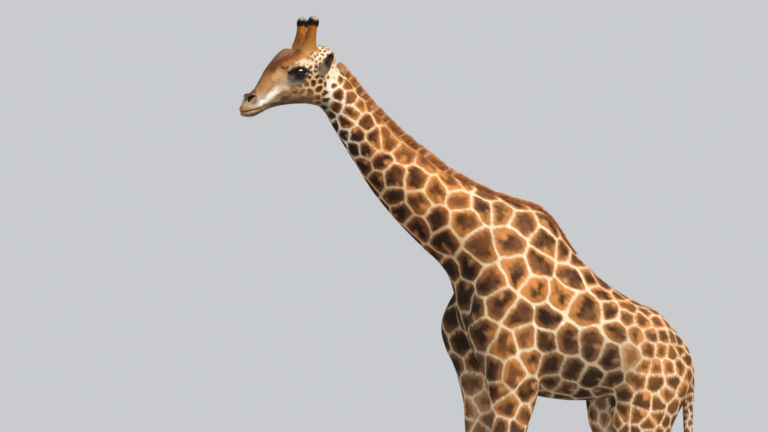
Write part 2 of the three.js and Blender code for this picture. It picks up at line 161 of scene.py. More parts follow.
NECK = [
    [-1440, 3944, -1492, 3700, 66, 0.5, 2.1],
    [-1352, 3926, -1436, 3648, 80, 0.5, 2.1],
    [-1280, 3852, -1384, 3570, 87, 0.5, 2.1],
    [-1206, 3764, -1332, 3490, 92, 0.5, 2.1],
    [-1124, 3674, -1274, 3402, 98, 0.5, 2.1],
    [-1028, 3584, -1206, 3302, 104, 0.5, 2.1],
    [-914, 3486, -1120, 3178, 110, 0.5, 2.1],
    [-794, 3400, -1016, 3056, 119, 0.5, 2.1],
    [-660, 3308, -902, 2940, 131, 0.5, 2.1],
    [-512, 3238, -792, 2840, 147, 0.49, 2.1],
    [-356, 3176, -694, 2756, 168, 0.48, 2.1],
    [-206, 3128, -624, 2664, 196, 0.46, 2.1],
    [-80, 3094, -586, 2552, 222, 0.44, 2.1],
]
TRUNK = [
    [8, 3048, -558, 2430, 243, 0.42, 2.1],
    [82, 2958, -500, 2300, 262, 0.42, 2.15],
    [160, 2844, -410, 2164, 280, 0.42, 2.2],
    [244, 2762, -272, 2044, 302, 0.42, 2.2],
    [336, 2684, -96, 1964, 322, 0.42, 2.2],
    [434, 2611, 100, 1928, 332, 0.42, 2.25],
    [532, 2554, 290, 1926, 330, 0.43, 2.25],
    [626, 2512, 460, 1952, 312, 0.45, 2.25],
    [708, 2482, 610, 1992, 284, 0.48, 2.2],
    [776, 2408, 730, 2022, 246, 0.5, 2.2],
    [846, 2326, 816, 2036, 198, 0.5, 2.2],
    [908, 2248, 878, 2048, 138, 0.5, 2.2],
    [944, 2184, 922, 2070, 74, 0.5, 2.1],
]

# Stations of a left leg or the tail from the top down, in millimetres, as
# [front x, front z, back x, back z, half width, y of the middle, fullness].
FORELEG = [
    [-250, 2880, -20, 2880, 40, -150, 2],
    [-380, 2760, 8, 2760, 66, -172, 2],
    [-500, 2620, 4, 2620, 84, -190, 2.1],
    [-572, 2480, -22, 2480, 98, -200, 2.2],
    [-590, 2360, -70, 2360, 104, -204, 2.2],
    [-562, 2240, -92, 2240, 106, -204, 2.2],
    [-506, 2120, -106, 2120, 100, -202, 2.2],
    [-468, 2010, -132, 2010, 92, -199, 2.2],
    [-446, 1910, -148, 1910, 82, -195, 2.2],
    [-432, 1790, -190, 1790, 73, -191, 2.1],
    [-421, 1640, -222, 1640, 66, -187, 2.1],
    [-411, 1470, -250, 1470, 59, -183, 2.1],
    [-403, 1300, -272, 1300, 53, -180, 2.1],
    [-402, 1160, -284, 1160, 51, -178, 2.2],
    [-411, 1080, -282, 1080, 57, -177, 2.4],
    [-420, 1010, -276, 1010, 63, -176, 2.5],
    [-417, 945, -276, 945, 60, -176, 2.4],
    [-403, 870, -288, 870, 50, -176, 2.2],
    [-393, 740, -299, 740, 42, -176, 2.1],
    [-389, 560, -300, 560, 40, -176, 2.1],
    [-391, 410, -297, 410, 42, -176, 2.1],
    [-398, 320, -280, 320, 51, -176, 2.2],
    [-406, 262, -270, 262, 57, -176, 2.3],
    [-416, 208, -284, 200, 54, -176, 2.3],
    [-436, 165, -296, 132, 56, -176, 2.4],
    [-464, 128, -290, 62, 66, -176, 2.5],
]
HINDLEG = [
    [560, 2420, 740, 2420, 40, -122, 2],
    [478, 2320, 826, 2320, 74, -152, 2],
    [418, 2205, 884, 2205, 98, -174, 2.1],
    [378, 2090, 898, 2090, 112, -186, 2.2],
    [358, 1980, 870, 1980, 114, -190, 2.2],
    [354, 1880, 816, 1880, 108, -192, 2.2],
    [364, 1790, 764, 1790, 99, -193, 2.2],
    [392, 1700, 736, 1700, 89, -192, 2.1],
    [440, 1590, 728, 1590, 77, -189, 2.1],
    [502, 1460, 742, 1460, 65, -185, 2.1],
    [566, 1330, 772, 1330, 55, -181, 2.1],
    [620, 1215, 812, 1215, 48, -178, 2.1],
    [656, 1130, 858, 1145, 46, -176, 2.1],
    [682, 1060, 868, 1078, 53, -175, 2.2],
    [700, 985, 846, 985, 57, -175, 2.3],
    [712, 900, 828, 900, 51, -175, 2.2],
    [720, 780, 820, 780, 43, -175, 2.1],
    [724, 600, 816, 600, 40, -175, 2.1],
    [723, 430, 817, 430, 42, -175, 2.1],
    [716, 325, 830, 325, 51, -175, 2.2],
    [708, 265, 838, 265, 56, -175, 2.3],
    [696, 208, 826, 200, 53, -175, 2.3],
    [674, 165, 812, 132, 55, -175, 2.4],
    [646, 128, 814, 62, 64, -175, 2.5],
]
TAIL = [
    [846, 2262, 906, 2290, 34, 0, 2],
    [868, 2190, 962, 2214, 40, 0, 2],
    [890, 2120, 986, 2124, 37, 0, 2],
    [906, 2020, 990, 2020, 33, 0, 2],
    [914, 1880, 984, 1880, 29, 0, 2],
    [921, 1700, 977, 1700, 24, 0, 2],
    [927, 1500, 972, 1500, 19, 0, 2],
    [932, 1300, 968, 1300, 16, 0, 2],
]
HOOF = {"grow": 62, "heel": 16, "half": 42, "apart": 46, "top_half": 31, "top_apart": 34, "bevel": 6}

OSSICONE = {"base": np.array([-1.576, 0.072, 3.986]), "tip": np.array([-1.538, 0.092, 4.226])}
OSSICONE_OUTLINE = [
    [66, 0], [56, 0.18], [41, 0.36], [33, 0.55], [31, 0.72], [35, 0.86], [33, 0.94], [21, 0.99], [0, 1],
]
EAR = {"base": np.array([-1.498, 0.094, 3.866]), "length": 0.178, "half": 0.032, "cup": 0.022, "wall": 0.006}

LEGS = {
    "foreleg_left": (FORELEG, LEFT, 0.0, FORE_REACH),
    "foreleg_right": (FORELEG, RIGHT, -0.095, FORE_REACH),
    "hindleg_left": (HINDLEG, LEFT, 0.0, HIND_REACH),
    "hindleg_right": (HINDLEG, RIGHT, 0.120, HIND_REACH),
}

VOXEL = 0.009  # of the skin that joins the shells
SEAM_REACH = 0.034  # how far round an ear's root the skin is evened out
RIB_SPACING = 0.062
HOOF_HIGH = 0.075  # where the hair ends

# How far the coat stands over the skin.
COAT = {"body": 0.006, "leg": 0.004, "head": 0.003}


# ---- Shells from stations ------------------------------------------------------------------------------


def circle(count):
    """The cosines and sines of equal steps round a circle."""
    angle = np.arange(count) * 2 * math.pi / count
    return np.cos(angle), np.sin(angle)


def smooth_rows(stations, steps):
    """Rows between the stations, on a smooth curve through every column."""
    rows = np.array(stations, float)
    rows[:, :5] *= MM
    middle = (rows[:, 0:2] + rows[:, 2:4]) / 2
    at = run_of(middle)
    slope = np.gradient(rows, at, axis=0)
    made = []
    for i in range(len(rows) - 1):
        gap = at[i + 1] - at[i]
        for t in np.arange(steps) / steps:
            made.append(
                rows[i] * (2 * t**3 - 3 * t**2 + 1)
                + slope[i] * gap * (t**3 - 2 * t**2 + t)
                + rows[i + 1] * (3 * t**2 - 2 * t**3)
                + slope[i + 1] * gap * (t**3 - t**2)
            )
    made.append(rows[-1])
    return np.array(made)


def rings(rows, around, grow, widest=0.5, y=0.0):
    """Rounded sections between a front or top point and a back or bottom point. grow moves their surface
    out by so much."""
    across, up = (np.sign(turn) * np.abs(turn) ** (2 / rows[:, 6:7]) for turn in circle(around))
    step = rows[:, 0:2] - rows[:, 2:4]
    height = np.linalg.norm(step, axis=1)[:, None]
    widest = np.broadcast_to(np.atleast_1d(widest)[:, None], (len(rows), 1))
    reach = widest + np.where(up > 0, 1 - widest, widest) * up + up * grow / height
    x = rows[:, 2:3] + step[:, 0:1] * reach
    z = rows[:, 3:4] + step[:, 1:2] * reach
    side = np.broadcast_to(np.atleast_1d(y)[:, None], (len(rows), 1)) + across * (rows[:, 4:5] + grow)
    return np.stack([x, side, z], axis=2)


def loft(sections, start_depth=0.0, end_depth=0.0):
    """The closed skin over a row of rings, as points and faces. Its ends bulge by the given depths."""

    def dome(end, before, depth):
        out = unit(end.mean(0) - before.mean(0))
        added = []
        for angle in (math.pi / 8, math.pi / 4, 3 * math.pi / 8) if depth else ():
            shrunk = end + (end.mean(0) - end) * (1 - math.cos(angle))
            added.append(shrunk + out * depth * math.sin(angle))
        return added, end.mean(0) + out * depth

    first, first_pole = dome(sections[0], sections[1], start_depth)
    final, final_pole = dome(sections[-1], sections[-2], end_depth)
    every = [*first[::-1], *sections, *final]
    around = len(sections[0])
    points = np.concatenate([*every, [first_pole], [final_pole]])
    faces = []
    for r in range(len(every) - 1):
        for k in range(around):
            a, b = r * around + k, r * around + (k + 1) % around
            faces.append((a, a + around, b + around, b))
    start_pole, last = len(every) * around, (len(every) - 1) * around
    for k in range(around):
        following = (k + 1) % around
        faces.append((start_pole, k, following))
        faces.append((start_pole + 1, last + following, last + k))
    ring = sections[len(sections) // 2] - sections[len(sections) // 2].mean(0)
    turning = np.cross(ring, np.roll(ring, -1, axis=0)).sum(0) @ (sections[-1].mean(0) - sections[0].mean(0))
    return points, [face[::-1] for face in faces] if turning > 0 else faces


def spine_loft(stations, grow, start_depth, end_depth):
    rows = smooth_rows(stations, 6)
    return loft(rings(rows, 72, grow, widest=rows[:, 5]), start_depth, end_depth)


def limb_sections(stations, side, grow, step=0.0, reach=1.0, around=40, steps=6):
    rows = smooth_rows(stations, steps)
    sections = rings(rows, around, grow, y=-side * rows[:, 5] * MM)
    sections[..., 0] += step * np.maximum(0, 1 - sections[..., 2] / reach)
    return sections


def ellipsoid(centre, radii, pitch=0.0, around=32):
    """A ball with its own radius along each axis, tipped about Y."""
    c, s = math.cos(pitch), math.sin(pitch)
    tip = np.array([[c, 0, -s], [0, 1, 0], [s, 0, c]])
    east, north = circle(around)
    sections = []
    for a in np.linspace(0, math.pi, around // 2 + 1)[1:-1]:
        ball = np.stack([math.sin(a) * east, math.sin(a) * north, np.full(around, math.cos(a))], axis=1)
        sections.append((ball * radii) @ tip + centre)
    return loft(np.array(sections))


def frame_of(part, side):
    """The base, length and axes of an ossicone or an ear."""
    mirror = np.array([1, side, 1])
    if part == "ossicone":
        base, tip = OSSICONE["base"] * mirror, OSSICONE["tip"] * mirror
        along = unit(tip - base)
        forward = unit(np.array([-1.0, 0, 0]) + along * along[0])
        return base, np.linalg.norm(tip - base), np.array([np.cross(along, forward), forward, along])
    along = unit(np.array([0.16, side * 0.66, 0.74]))
    front = np.array([-0.84, side * 0.4, -0.25])
    front = unit(front - along * (front @ along))
    return EAR["base"] * mirror, EAR["length"], np.array([np.cross(front, along), front, along])


def ossicone(side):
    """A horn of bone under skin: thick at its root, waisted, and knobbed at its top."""
    base, length, axes = frame_of("ossicone", side)
    outline = np.array(OSSICONE_OUTLINE)
    share = np.linspace(-0.30, 0.995, 52)
    radius = np.interp(share, [-0.30, -0.08, *outline[1:, 1]], [24, 52, *outline[1:, 0]]) * MM - COAT["head"]
    radius = np.convolve(np.pad(radius, 2, mode="edge"), np.ones(5) / 5, mode="valid")
    ring = np.stack([*circle(36), np.zeros(36)], axis=1)
    slim = 1 - 0.16 * (1 - rise(share, 0.05, 0.40))
    sections = [
        (ring * [r * k, r, 0] + [0, 0, s * length]) @ axes + base for r, k, s in zip(radius, slim, share)
    ]
    return loft(np.array(sections))


def ear(side):
    """A leaf-shaped ear, hollowed on the side that faces forwards and outwards."""
    base, length, axes = frame_of("ear", side)
    root = 0.019
    c, s = circle(44)
    sections = []
    for t in np.linspace(-0.10, 0.985, 40):
        taper = max(0.0, 1 - (max(0.0, t - 0.40) / 0.61) ** 2) ** 0.62
        spread = rise(t, 0.02, 0.52)
        half = (root + (EAR["half"] - root) * spread) * taper + 0.001
        cup = (root + (EAR["cup"] - root) * spread) * (0.35 + 0.65 * taper)
        wall = EAR["wall"] * (0.4 + 0.6 * taper)
        hollow = rise(t, 0.08, 0.36)
        front = root * (1 - hollow) - max(cup - wall, 0.001) * hollow
        across = half * c
        depth = np.where(s > 0, front * s, cup * s) + 0.010 * t * t
        curl = 0.012 * rise(t, 0.6, 1.0)
        sections.append(np.stack([across, depth - curl, np.full(44, t * length)], 1) @ axes + base)
    return loft(np.array(sections))


def head_forms(side):
    """Brow, eye socket, nostril and jaw as balls of bone under the skin: centre, radii and pitch."""
    return [
        ((-1.632, side * 0.084, 3.922), (0.062, 0.034, 0.026), 0.3),
        ((-1.626, side * 0.084, 3.888), (0.046, 0.032, 0.038), 0.0),
        ((-1.914, side * 0.036, 3.738), (0.034, 0.024, 0.024), 0.8),
        ((-1.536, side * 0.058, 3.778), (0.092, 0.040, 0.060), 0.0),
    ]


# ---- Meshes and arrays ---------------------------------------------------------------------------------


def new_object(name, points, faces):
    """An object from lists of points and faces."""
    mesh = bpy.data.meshes.new(name)
    mesh.from_pydata(np.asarray(points, float).tolist(), [], faces)
    mesh.update()
    made = bpy.data.objects.new(name, mesh)
    bpy.context.scene.collection.objects.link(made)
    return made


def joined_shells(name, shells):
    """One object that holds several closed skins."""
    points, faces, start = [], [], 0
    for shell_points, shell_faces in shells:
        points.append(shell_points)
        faces += [tuple(start + i for i in face) for face in shell_faces]
        start += len(shell_points)
    return new_object(name, np.concatenate(points), faces)


def get(collection, name, width, kind=np.float32):
    """One property of every item in a mesh's collection, as an array."""
    values = np.empty(len(collection) * width, kind)
    collection.foreach_get(name, values)
    values = values.reshape(-1, width) if width > 1 else values
    return values.astype(float) if kind is np.float32 else values


def points_of(mesh):
    return get(mesh.vertices, "co", 3)


def move_points(mesh, points):
    mesh.vertices.foreach_set("co", points.astype(np.float32).ravel())
    mesh.update()


def normals_of(mesh):
    return get(mesh.vertex_normals, "vector", 3)


def relax(mesh, weight, rounds, pace=0.5, keep_size=False):
    """Evens the mesh out where weight is above 0, each round a little further. keep_size undoes most of the
    shrinking that comes with it."""
    points = points_of(mesh)
    edges = get(mesh.edges, "vertices", 2, np.int32)
    ends = np.concatenate([edges, edges[:, ::-1]])
    use = weight[ends[:, 0]] > 0.002
    ends = ends[use]
    count = np.maximum(np.bincount(ends[:, 0], minlength=len(points)), 1)
    weight = np.broadcast_to(weight[:, None], points.shape)
    for _ in range(rounds):
        for amount in (pace, -1.03 * pace) if keep_size else (pace,):
            around = np.stack(
                [np.bincount(ends[:, 0], points[ends[:, 1], k], len(points)) for k in range(3)], axis=1
            )
            points = points + amount * weight * np.where(weight > 0.002, around / count[:, None] - points, 0)
    move_points(mesh, points)


def with_modifier(thing, kind, **settings):
    """The object's mesh replaced by what the modifier makes of it."""
    modifier = thing.modifiers.new(kind, kind)
    for key, value in settings.items():
        setattr(modifier, key, value)
    graph = bpy.context.evaluated_depsgraph_get()
    mesh = bpy.data.meshes.new_from_object(thing.evaluated_get(graph))
    thing.modifiers.clear()
    thing.data = mesh
    return thing


def refine(mesh, chosen):
    """Cuts each edge of the chosen faces in two. chosen takes the faces' middles."""
    middles = get(mesh.polygons, "center", 3)
    pick = chosen(middles)
    work = bmesh.new()
    work.from_mesh(mesh)
    work.faces.ensure_lookup_table()
    edges = {edge for i in np.nonzero(pick)[0] for edge in work.faces[i].edges}
    bmesh.ops.subdivide_edges(work, edges=list(edges), cuts=1, use_grid_fill=True)
    work.to_mesh(mesh)
    work.free()
    mesh.update()


# ---- The skin's shape ----------------------------------------------------------------------------------

# Where parts run into each other, as [centre, radius]: the skin is evened out there.
JUNCTIONS = [
    [(-0.50, 0.16, 2.50), 0.20],
    [(-0.30, 0.20, 2.78), 0.26],
    [(0.00, 0.22, 2.62), 0.24],
    [(-0.06, 0.25, 2.15), 0.18],
    [(-0.35, 0.08, 2.05), 0.22],
    [(0.50, 0.22, 2.36), 0.26],
    [(0.38, 0.28, 2.05), 0.18],
    [(0.85, 0.13, 2.30), 0.18],
    [(0.62, 0.08, 1.98), 0.24],
    [(0.92, 0.02, 2.20), 0.09],
    [(-1.42, 0.05, 3.80), 0.15],
    [(-1.59, 0.09, 3.99), 0.05],
    [(-1.55, 0.03, 4.04), 0.05],
]


def ball_weight(points, centre, radii):
    """A soft ball of influence, 1 in its middle, on both sides of the animal."""
    mirrored = np.stack([points[:, 0], np.abs(points[:, 1]), points[:, 2]], axis=1)
    return np.exp(-np.sum(((mirrored - centre) / radii) ** 2, axis=1))


def build_skin():
    """One closed skin from shells that run into each other, evened out where they meet."""
    shells = [
        spine_loft(HEAD, -COAT["head"], 0.014, 0.020),
        spine_loft(NECK + TRUNK, -COAT["body"], 0.030, 0.022),
        loft(limb_sections(TAIL, LEFT, -0.002)),
    ]
    for stations, side, step, reach in LEGS.values():
        shells.append(loft(limb_sections(stations, side, -COAT["leg"], step, reach), 0.012))
    for side in SIDES.values():
        shells.append(ossicone(side))
        for centre, radii, pitch in head_forms(side):
            shells.append(ellipsoid(np.array(centre), np.array(radii) - COAT["head"], pitch))
    chin = ellipsoid(np.array([-1.944, 0, 3.642]), np.array([0.031, 0.039, 0.019]), 0.3)
    shells.append(chin)
    skin = joined_shells("skin", shells)
    with_modifier(skin, "REMESH", mode="VOXEL", voxel_size=VOXEL)
    points = points_of(skin.data)
    relax(skin.data, np.ones(len(points)), 6, keep_size=True)
    blend = np.zeros(len(points))
    for centre, radius in JUNCTIONS:
        blend = np.maximum(blend, ball_weight(points, centre, radius))
    relax(skin.data, np.clip(blend * 1.4 - 0.2, 0, 1), 70, pace=0.6)
    return skin


def head_side(points):
    """Metres in front of the cut between head and neck, seen from the side."""
    along = unit(HEAD_CUT[1] - HEAD_CUT[0])
    return (points[:, [0, 2]] - HEAD_CUT[0]) @ np.array([-along[1], along[0]])


def local(points, part, side):
    """Points in the axes of an ossicone or an ear: across, forwards and along it."""
    base, _, axes = frame_of(part, side)
    return (points - base) @ axes.T


# ---- The skin's relief ---------------------------------------------------------------------------------

# The head has its own axes: s runs down the face from the poll, u up from the line of the jaw and w out
# from the middle plane to either side.
HEAD_ORIGIN = np.array([-1.440, 3.930])
FACE_DOWN = np.array([-0.904, -0.427])
FACE_UP = np.array([-0.427, 0.904])

EYE_CENTRE = np.array([0.190, 0.045, 0.0835])
EYE_RADIUS = 0.0365
LID_LONG, LID_HIGH, LID_LOW = 0.94, 0.54, 0.42  # how far the opening reaches from its middle, in radians
LID_THICK = 0.0035
EYE_SLANT = -0.38


def to_head(points):
    offset = points[:, [0, 2]] - HEAD_ORIGIN
    return np.stack([offset @ FACE_DOWN, offset @ FACE_UP, np.abs(points[:, 1])], axis=1)


def from_head(place, side):
    """Points of the animal's frame at [s, u, w] on one side of the head."""
    place = np.asarray(place, float)
    flat = HEAD_ORIGIN + place[..., 0:1] * FACE_DOWN + place[..., 1:2] * FACE_UP
    return np.stack([flat[..., 0], side * place[..., 2], flat[..., 1]], axis=-1)


def path_distance(places, path):
    """How far each 2-D place is from a bent line, and the share of its length that is nearest."""
    path = np.asarray(path, float)
    lengths = np.linalg.norm(np.diff(path, axis=0), axis=1)
    near, share, passed = np.full(len(places), 9.0), np.zeros(len(places)), 0.0
    for a, b, length in zip(path[:-1], path[1:], lengths):
        t = np.clip((places - a) @ (b - a) / length**2, 0, 1)
        gap = np.linalg.norm(places - a - t[:, None] * (b - a), axis=1)
        share = np.where(gap < near, (passed + t * length) / lengths.sum(), share)
        near = np.minimum(near, gap)
        passed += length
    return near, share


def stroke(places, path, width, fade=0.15):
    """1 on a bent line, falling to 0 over its width and towards both of its ends."""
    gap, share = path_distance(places, path)
    ends = rise(share, 0.0, fade) * rise(1 - share, 0.0, fade) if fade else 1.0
    return gauss(gap, 0, width) * ends


# Swellings and hollows of the body, as [centre, radii, height].
BODY_FORMS = [
    [(-0.23, 0.30, 2.31), (0.13, 0.10, 0.17), 0.014],  # back of the upper arm
    [(-0.52, 0.25, 2.38), (0.09, 0.12, 0.10), 0.014],  # point of the shoulder
    [(-0.25, 0.26, 2.62), (0.13, 0.12, 0.14), 0.006],
    [(0.02, 0.28, 2.60), (0.07, 0.15, 0.26), -0.010],  # behind the shoulder
    [(-0.62, 0.15, 2.62), (0.07, 0.12, 0.15), -0.008],
    [(0.44, 0.33, 2.34), (0.13, 0.12, 0.13), -0.016],  # hollow of the flank
    [(0.53, 0.24, 2.47), (0.07, 0.12, 0.06), 0.014],  # point of the hip
    [(0.89, 0.14, 2.21), (0.05, 0.08, 0.07), 0.012],  # seat bone
    [(0.74, 0.24, 2.18), (0.12, 0.12, 0.20), 0.008],
    [(0.44, 0.28, 1.93), (0.07, 0.10, 0.10), 0.010],  # stifle
    [(0.27, 0.34, 2.25), (0.20, 0.14, 0.16), 0.008],
    [(-0.12, 0.27, 1.99), (0.05, 0.10, 0.07), 0.008],  # elbow
    [(-0.96, 0.10, 3.28), (0.20, 0.08, 0.10), 0.005],
    [(-0.30, 0.0, 2.06), (0.16, 0.09, 0.10), 0.012],  # breast
]

# Ridges and grooves of the body seen from the side, as [path, width, height].
BODY_LINES = [
    [[(-0.06, 2.98), (-0.28, 2.72), (-0.48, 2.46)], 0.030, 0.006],  # spine of the shoulder blade
    [[(0.03, 2.92), (0.03, 2.60), (-0.04, 2.30), (-0.08, 2.10)], 0.026, -0.007],
    [[(-0.26, 3.06), (-0.44, 2.80), (-0.60, 2.52)], 0.028, -0.006],
    [[(-0.16, 2.46), (-0.30, 2.28), (-0.36, 2.08)], 0.020, -0.005],
    [[(-1.34, 3.70), (-1.16, 3.46), (-0.92, 3.20), (-0.68, 2.94)], 0.020, -0.006],  # groove of the neck
    [[(-1.30, 3.80), (-1.08, 3.56), (-0.78, 3.28), (-0.46, 3.02)], 0.034, 0.004],
    [[(0.74, 2.44), (0.80, 2.24), (0.76, 2.02), (0.70, 1.86)], 0.020, -0.008],  # back of the thigh
    [[(0.52, 2.42), (0.46, 2.22), (0.40, 2.04)], 0.028, -0.006],
    [[(0.26, 2.06), (0.36, 1.98), (0.40, 1.88)], 0.022, 0.006],  # fold of the flank
    [[(-0.44, 2.20), (-0.40, 2.02), (-0.34, 1.84)], 0.018, -0.005],
    [[(0.64, 2.06), (0.56, 1.86), (0.60, 1.64)], 0.022, -0.005],
]

# Swellings and hollows of the head, as [s, u, w], radii and height.
HEAD_FORMS = [
    [(0.165, 0.090, 0.075), (0.050, 0.022, 0.030), 0.005],  # brow
    [(0.118, 0.075, 0.098), (0.030, 0.022, 0.03), -0.006],  # temple
    [(0.255, 0.040, 0.075), (0.030, 0.024, 0.03), -0.005],  # in front of the eye
    [(0.345, 0.045, 0.060), (0.070, 0.028, 0.03), -0.007],  # side of the nose
    [(0.360, -0.055, 0.055), (0.070, 0.024, 0.03), -0.005],
    [(0.110, -0.075, 0.090), (0.055, 0.050, 0.04), 0.005],  # jaw muscle
    [(0.190, 0.200, 0.0), (0.035, 0.030, 0.040), 0.006],  # boss
    [(0.190, 0.196, 0.034), (0.020, 0.018, 0.016), 0.003],
    [(0.560, 0.012, 0.0), (0.020, 0.020, 0.008), -0.003],
    [(0.556, -0.020, 0.020), (0.020, 0.018, 0.022), 0.004],
    [(0.500, -0.054, 0.020), (0.034, 0.018, 0.030), 0.004],  # chin
]

# Ridges and grooves of the head in s and u, as [path, width, height].
HEAD_LINES = [
    [[(0.215, -0.004), (0.285, -0.014), (0.380, -0.020)], 0.010, 0.004],  # crest of the cheek
    [[(0.240, 0.066), (0.262, 0.070), (0.280, 0.060)], 0.007, -0.0025],  # tear line
    [[(0.160, -0.004), (0.200, 0.002), (0.240, 0.024)], 0.005, -0.0016],
    [[(0.160, -0.018), (0.205, -0.013), (0.250, 0.008)], 0.005, -0.0014],
    [[(0.140, 0.074), (0.180, 0.092), (0.225, 0.104), (0.255, 0.100)], 0.006, -0.0016],
    [[(0.085, -0.120), (0.140, -0.134), (0.210, -0.118)], 0.014, 0.003],
    [[(0.060, -0.020), (0.052, -0.070), (0.070, -0.120)], 0.010, -0.004],  # behind the jaw
    [[(0.455, 0.030), (0.470, 0.004), (0.462, -0.020)], 0.010, -0.0025],
]
LIP_LINE = [(0.620, -0.016), (0.590, -0.031), (0.548, -0.040), (0.493, -0.051)]
NOSTRIL = [(0.498, 0.030), (0.514, 0.034), (0.530, 0.029), (0.543, 0.016)]
WRINKLES = {"spacing": 0.0125, "height": 0.0012}


def nostril_half(share):
    """Half the width of the nostril, from the tail of the slit round to its front."""
    return np.interp(share, [0.0, 0.35, 0.75, 1.0], [0.0040, 0.0090, 0.0105, 0.0060])


def eye_angles(place):
    """Where head points lie on the eye's ball: along the lids, up across them, and how far out they are."""
    offset = place - EYE_CENTRE
    reach = np.linalg.norm(offset, axis=1)
    along = offset[:, 0] * math.cos(EYE_SLANT) - offset[:, 1] * math.sin(EYE_SLANT)
    up = offset[:, 0] * math.sin(EYE_SLANT) + offset[:, 1] * math.cos(EYE_SLANT)
    out = np.maximum(offset[:, 2], 1e-6)
    return np.arctan2(along, out), np.arctan2(up, out), reach, offset[:, 2]


def lid_narrowing(along):
    """How much lower the opening is towards its corners."""
    return 1 - 0.30 * np.clip(np.abs(along) / LID_LONG, 0, 1) ** 2


def lid_share(along, up):
    """1 on the rim of the opening between the lids, less inside and more outside."""
    high = np.where(up > 0, LID_HIGH, LID_LOW) * lid_narrowing(along)
    return np.sqrt((along / LID_LONG) ** 2 + (up / high) ** 2)


def shape_eyes(points):
    """Sets the skin as lids round each eye, and behind the ball where the eye is open."""
    place = to_head(points)
    along, up, reach, out = eye_angles(place)
    share = lid_share(along, up)
    lid = EYE_RADIUS + LID_THICK + 0.0012 * gauss(share, 1.22, 0.16)
    inside = EYE_RADIUS - 0.0065
    wanted = inside + (lid - inside) * rise(share, 0.97, 1.05)
    near = (1 - rise(share, 1.35, 2.35)) * rise(out, 0.0, 0.008)
    near *= 1 - rise(reach, EYE_RADIUS + 0.010, EYE_RADIUS + 0.024)
    near = np.where(place[:, 2] > 0.05, near, 0)
    crease = -0.003 * gauss(share, 1.62, 0.14) * rise(up, 0.0, 0.3)
    target = reach + (wanted - reach) * near + crease * rise(out, 0.0, 0.01)
    buried = (share > 1.05) & (out > -0.004) & (reach < EYE_RADIUS + 0.004) & (place[:, 2] > 0.05)
    target = np.where(buried, np.maximum(target, EYE_RADIUS + 0.0028), target)
    moved = EYE_CENTRE + (place - EYE_CENTRE) * (target / np.maximum(reach, 1e-6))[:, None]
    done = from_head(moved, 1)
    done[:, 1] *= np.where(points[:, 1] < 0, -1, 1)
    moved_far = (near > 0.001) | (np.abs(crease) > 1e-5) | buried
    return np.where(moved_far[:, None] & (reach < 0.075)[:, None], done, points)


def shape_body(points, normals):
    """Muscles, bones, ribs and folds of the body."""
    push = np.zeros(len(points))
    for centre, radii, height in BODY_FORMS:
        push += height * ball_weight(points, centre, radii)
    facing = rise(np.abs(normals[:, 1]), 0.25, 0.7) * rise(np.abs(points[:, 1]), 0.03, 0.08)
    side_view = points[:, [0, 2]]
    for path, width, height in BODY_LINES:
        push += height * stroke(side_view, path, width) * facing
    ribs = rise(points[:, 0], 0.06, 0.16) * rise(0.46 - points[:, 0], 0.0, 0.12)
    ribs *= rise(points[:, 2], 2.12, 2.26) * rise(2.62 - points[:, 2], 0.0, 0.12)
    lean = points[:, 0] + 0.30 * (points[:, 2] - 2.4)
    push += 0.0016 * np.sin(lean * 2 * math.pi / RIB_SPACING) * ribs * facing
    push += 0.0022 * noise(points, 7, 3) * rise(points[:, 2], 0.3, 0.6)
    return points + normals * (push * (1 - rise(head_side(points), -0.02, 0.02)))[:, None]


def limb_at(points, stations, step, reach):
    """Each point's x with the leg's step taken away, and the front, back, half width and middle of the leg
    or the tail at its height."""
    rows = np.array(stations, float) * MM
    order = np.argsort(rows[:, 1])
    x = points[:, 0] - step * np.maximum(0, 1 - points[:, 2] / reach)
    return x, *(np.interp(points[:, 2], rows[order, 1], rows[order, k]) for k in (0, 2, 4, 5))


def leg_relief(points, normals):
    """Tendons and the bones of the knees, hocks and fetlocks."""
    push = np.zeros(len(points))
    for stations, side, step, reach in LEGS.values():
        x, front, behind, _, _ = limb_at(points, stations, step, reach)
        z = points[:, 2]
        share = (x - front) / np.maximum(behind - front, 0.01)
        low = rise(1.02 - z, 0.0, 0.10) * rise(z, 0.24, 0.34)
        mine = (points[:, 1] * side > 0) * rise(1.7 - z, 0, 0.1) * (np.abs(share - 0.5) < 0.8)
        tendon = 0.005 * gauss(share, 0.86, 0.10) - 0.006 * gauss(share, 0.64, 0.09)
        cannon = 0.003 * gauss(share, 0.28, 0.16)
        push += mine * low * (tendon + cannon) * np.abs(normals[:, 1])
        joint = KNEE_HIGH if stations is FORELEG else HOCK_HIGH
        knob = gauss(z, joint, 0.05) - 0.7 * gauss(z, joint - 0.085, 0.03)
        push += mine * 0.004 * knob * gauss(share, 0.35, 0.3)
        push += mine * 0.005 * gauss(z, 0.262, 0.030) * gauss(share, 0.8, 0.25)
        muscle = 0.006 * gauss(z, 1.52, 0.16) * np.sin(np.clip(share, 0, 1) * 2 * math.pi * 1.5)
        push += mine * muscle * np.abs(normals[:, 1])
    return points + normals * push[:, None]


def wrinkles(points, lean):
    """A wave across the creases in front of the eye, and how far each point is creased."""
    s, u, _ = to_head(points).T
    wave = np.sin((u + lean * s + 0.004 * noise(points, 40, 5)) * 2 * math.pi / WRINKLES["spacing"])
    creased = rise(s, 0.262, 0.280) * rise(0.39 - s, 0, 0.05) * rise(u, -0.02, 0.0) * rise(0.085 - u, 0, 0.03)
    return wave, creased


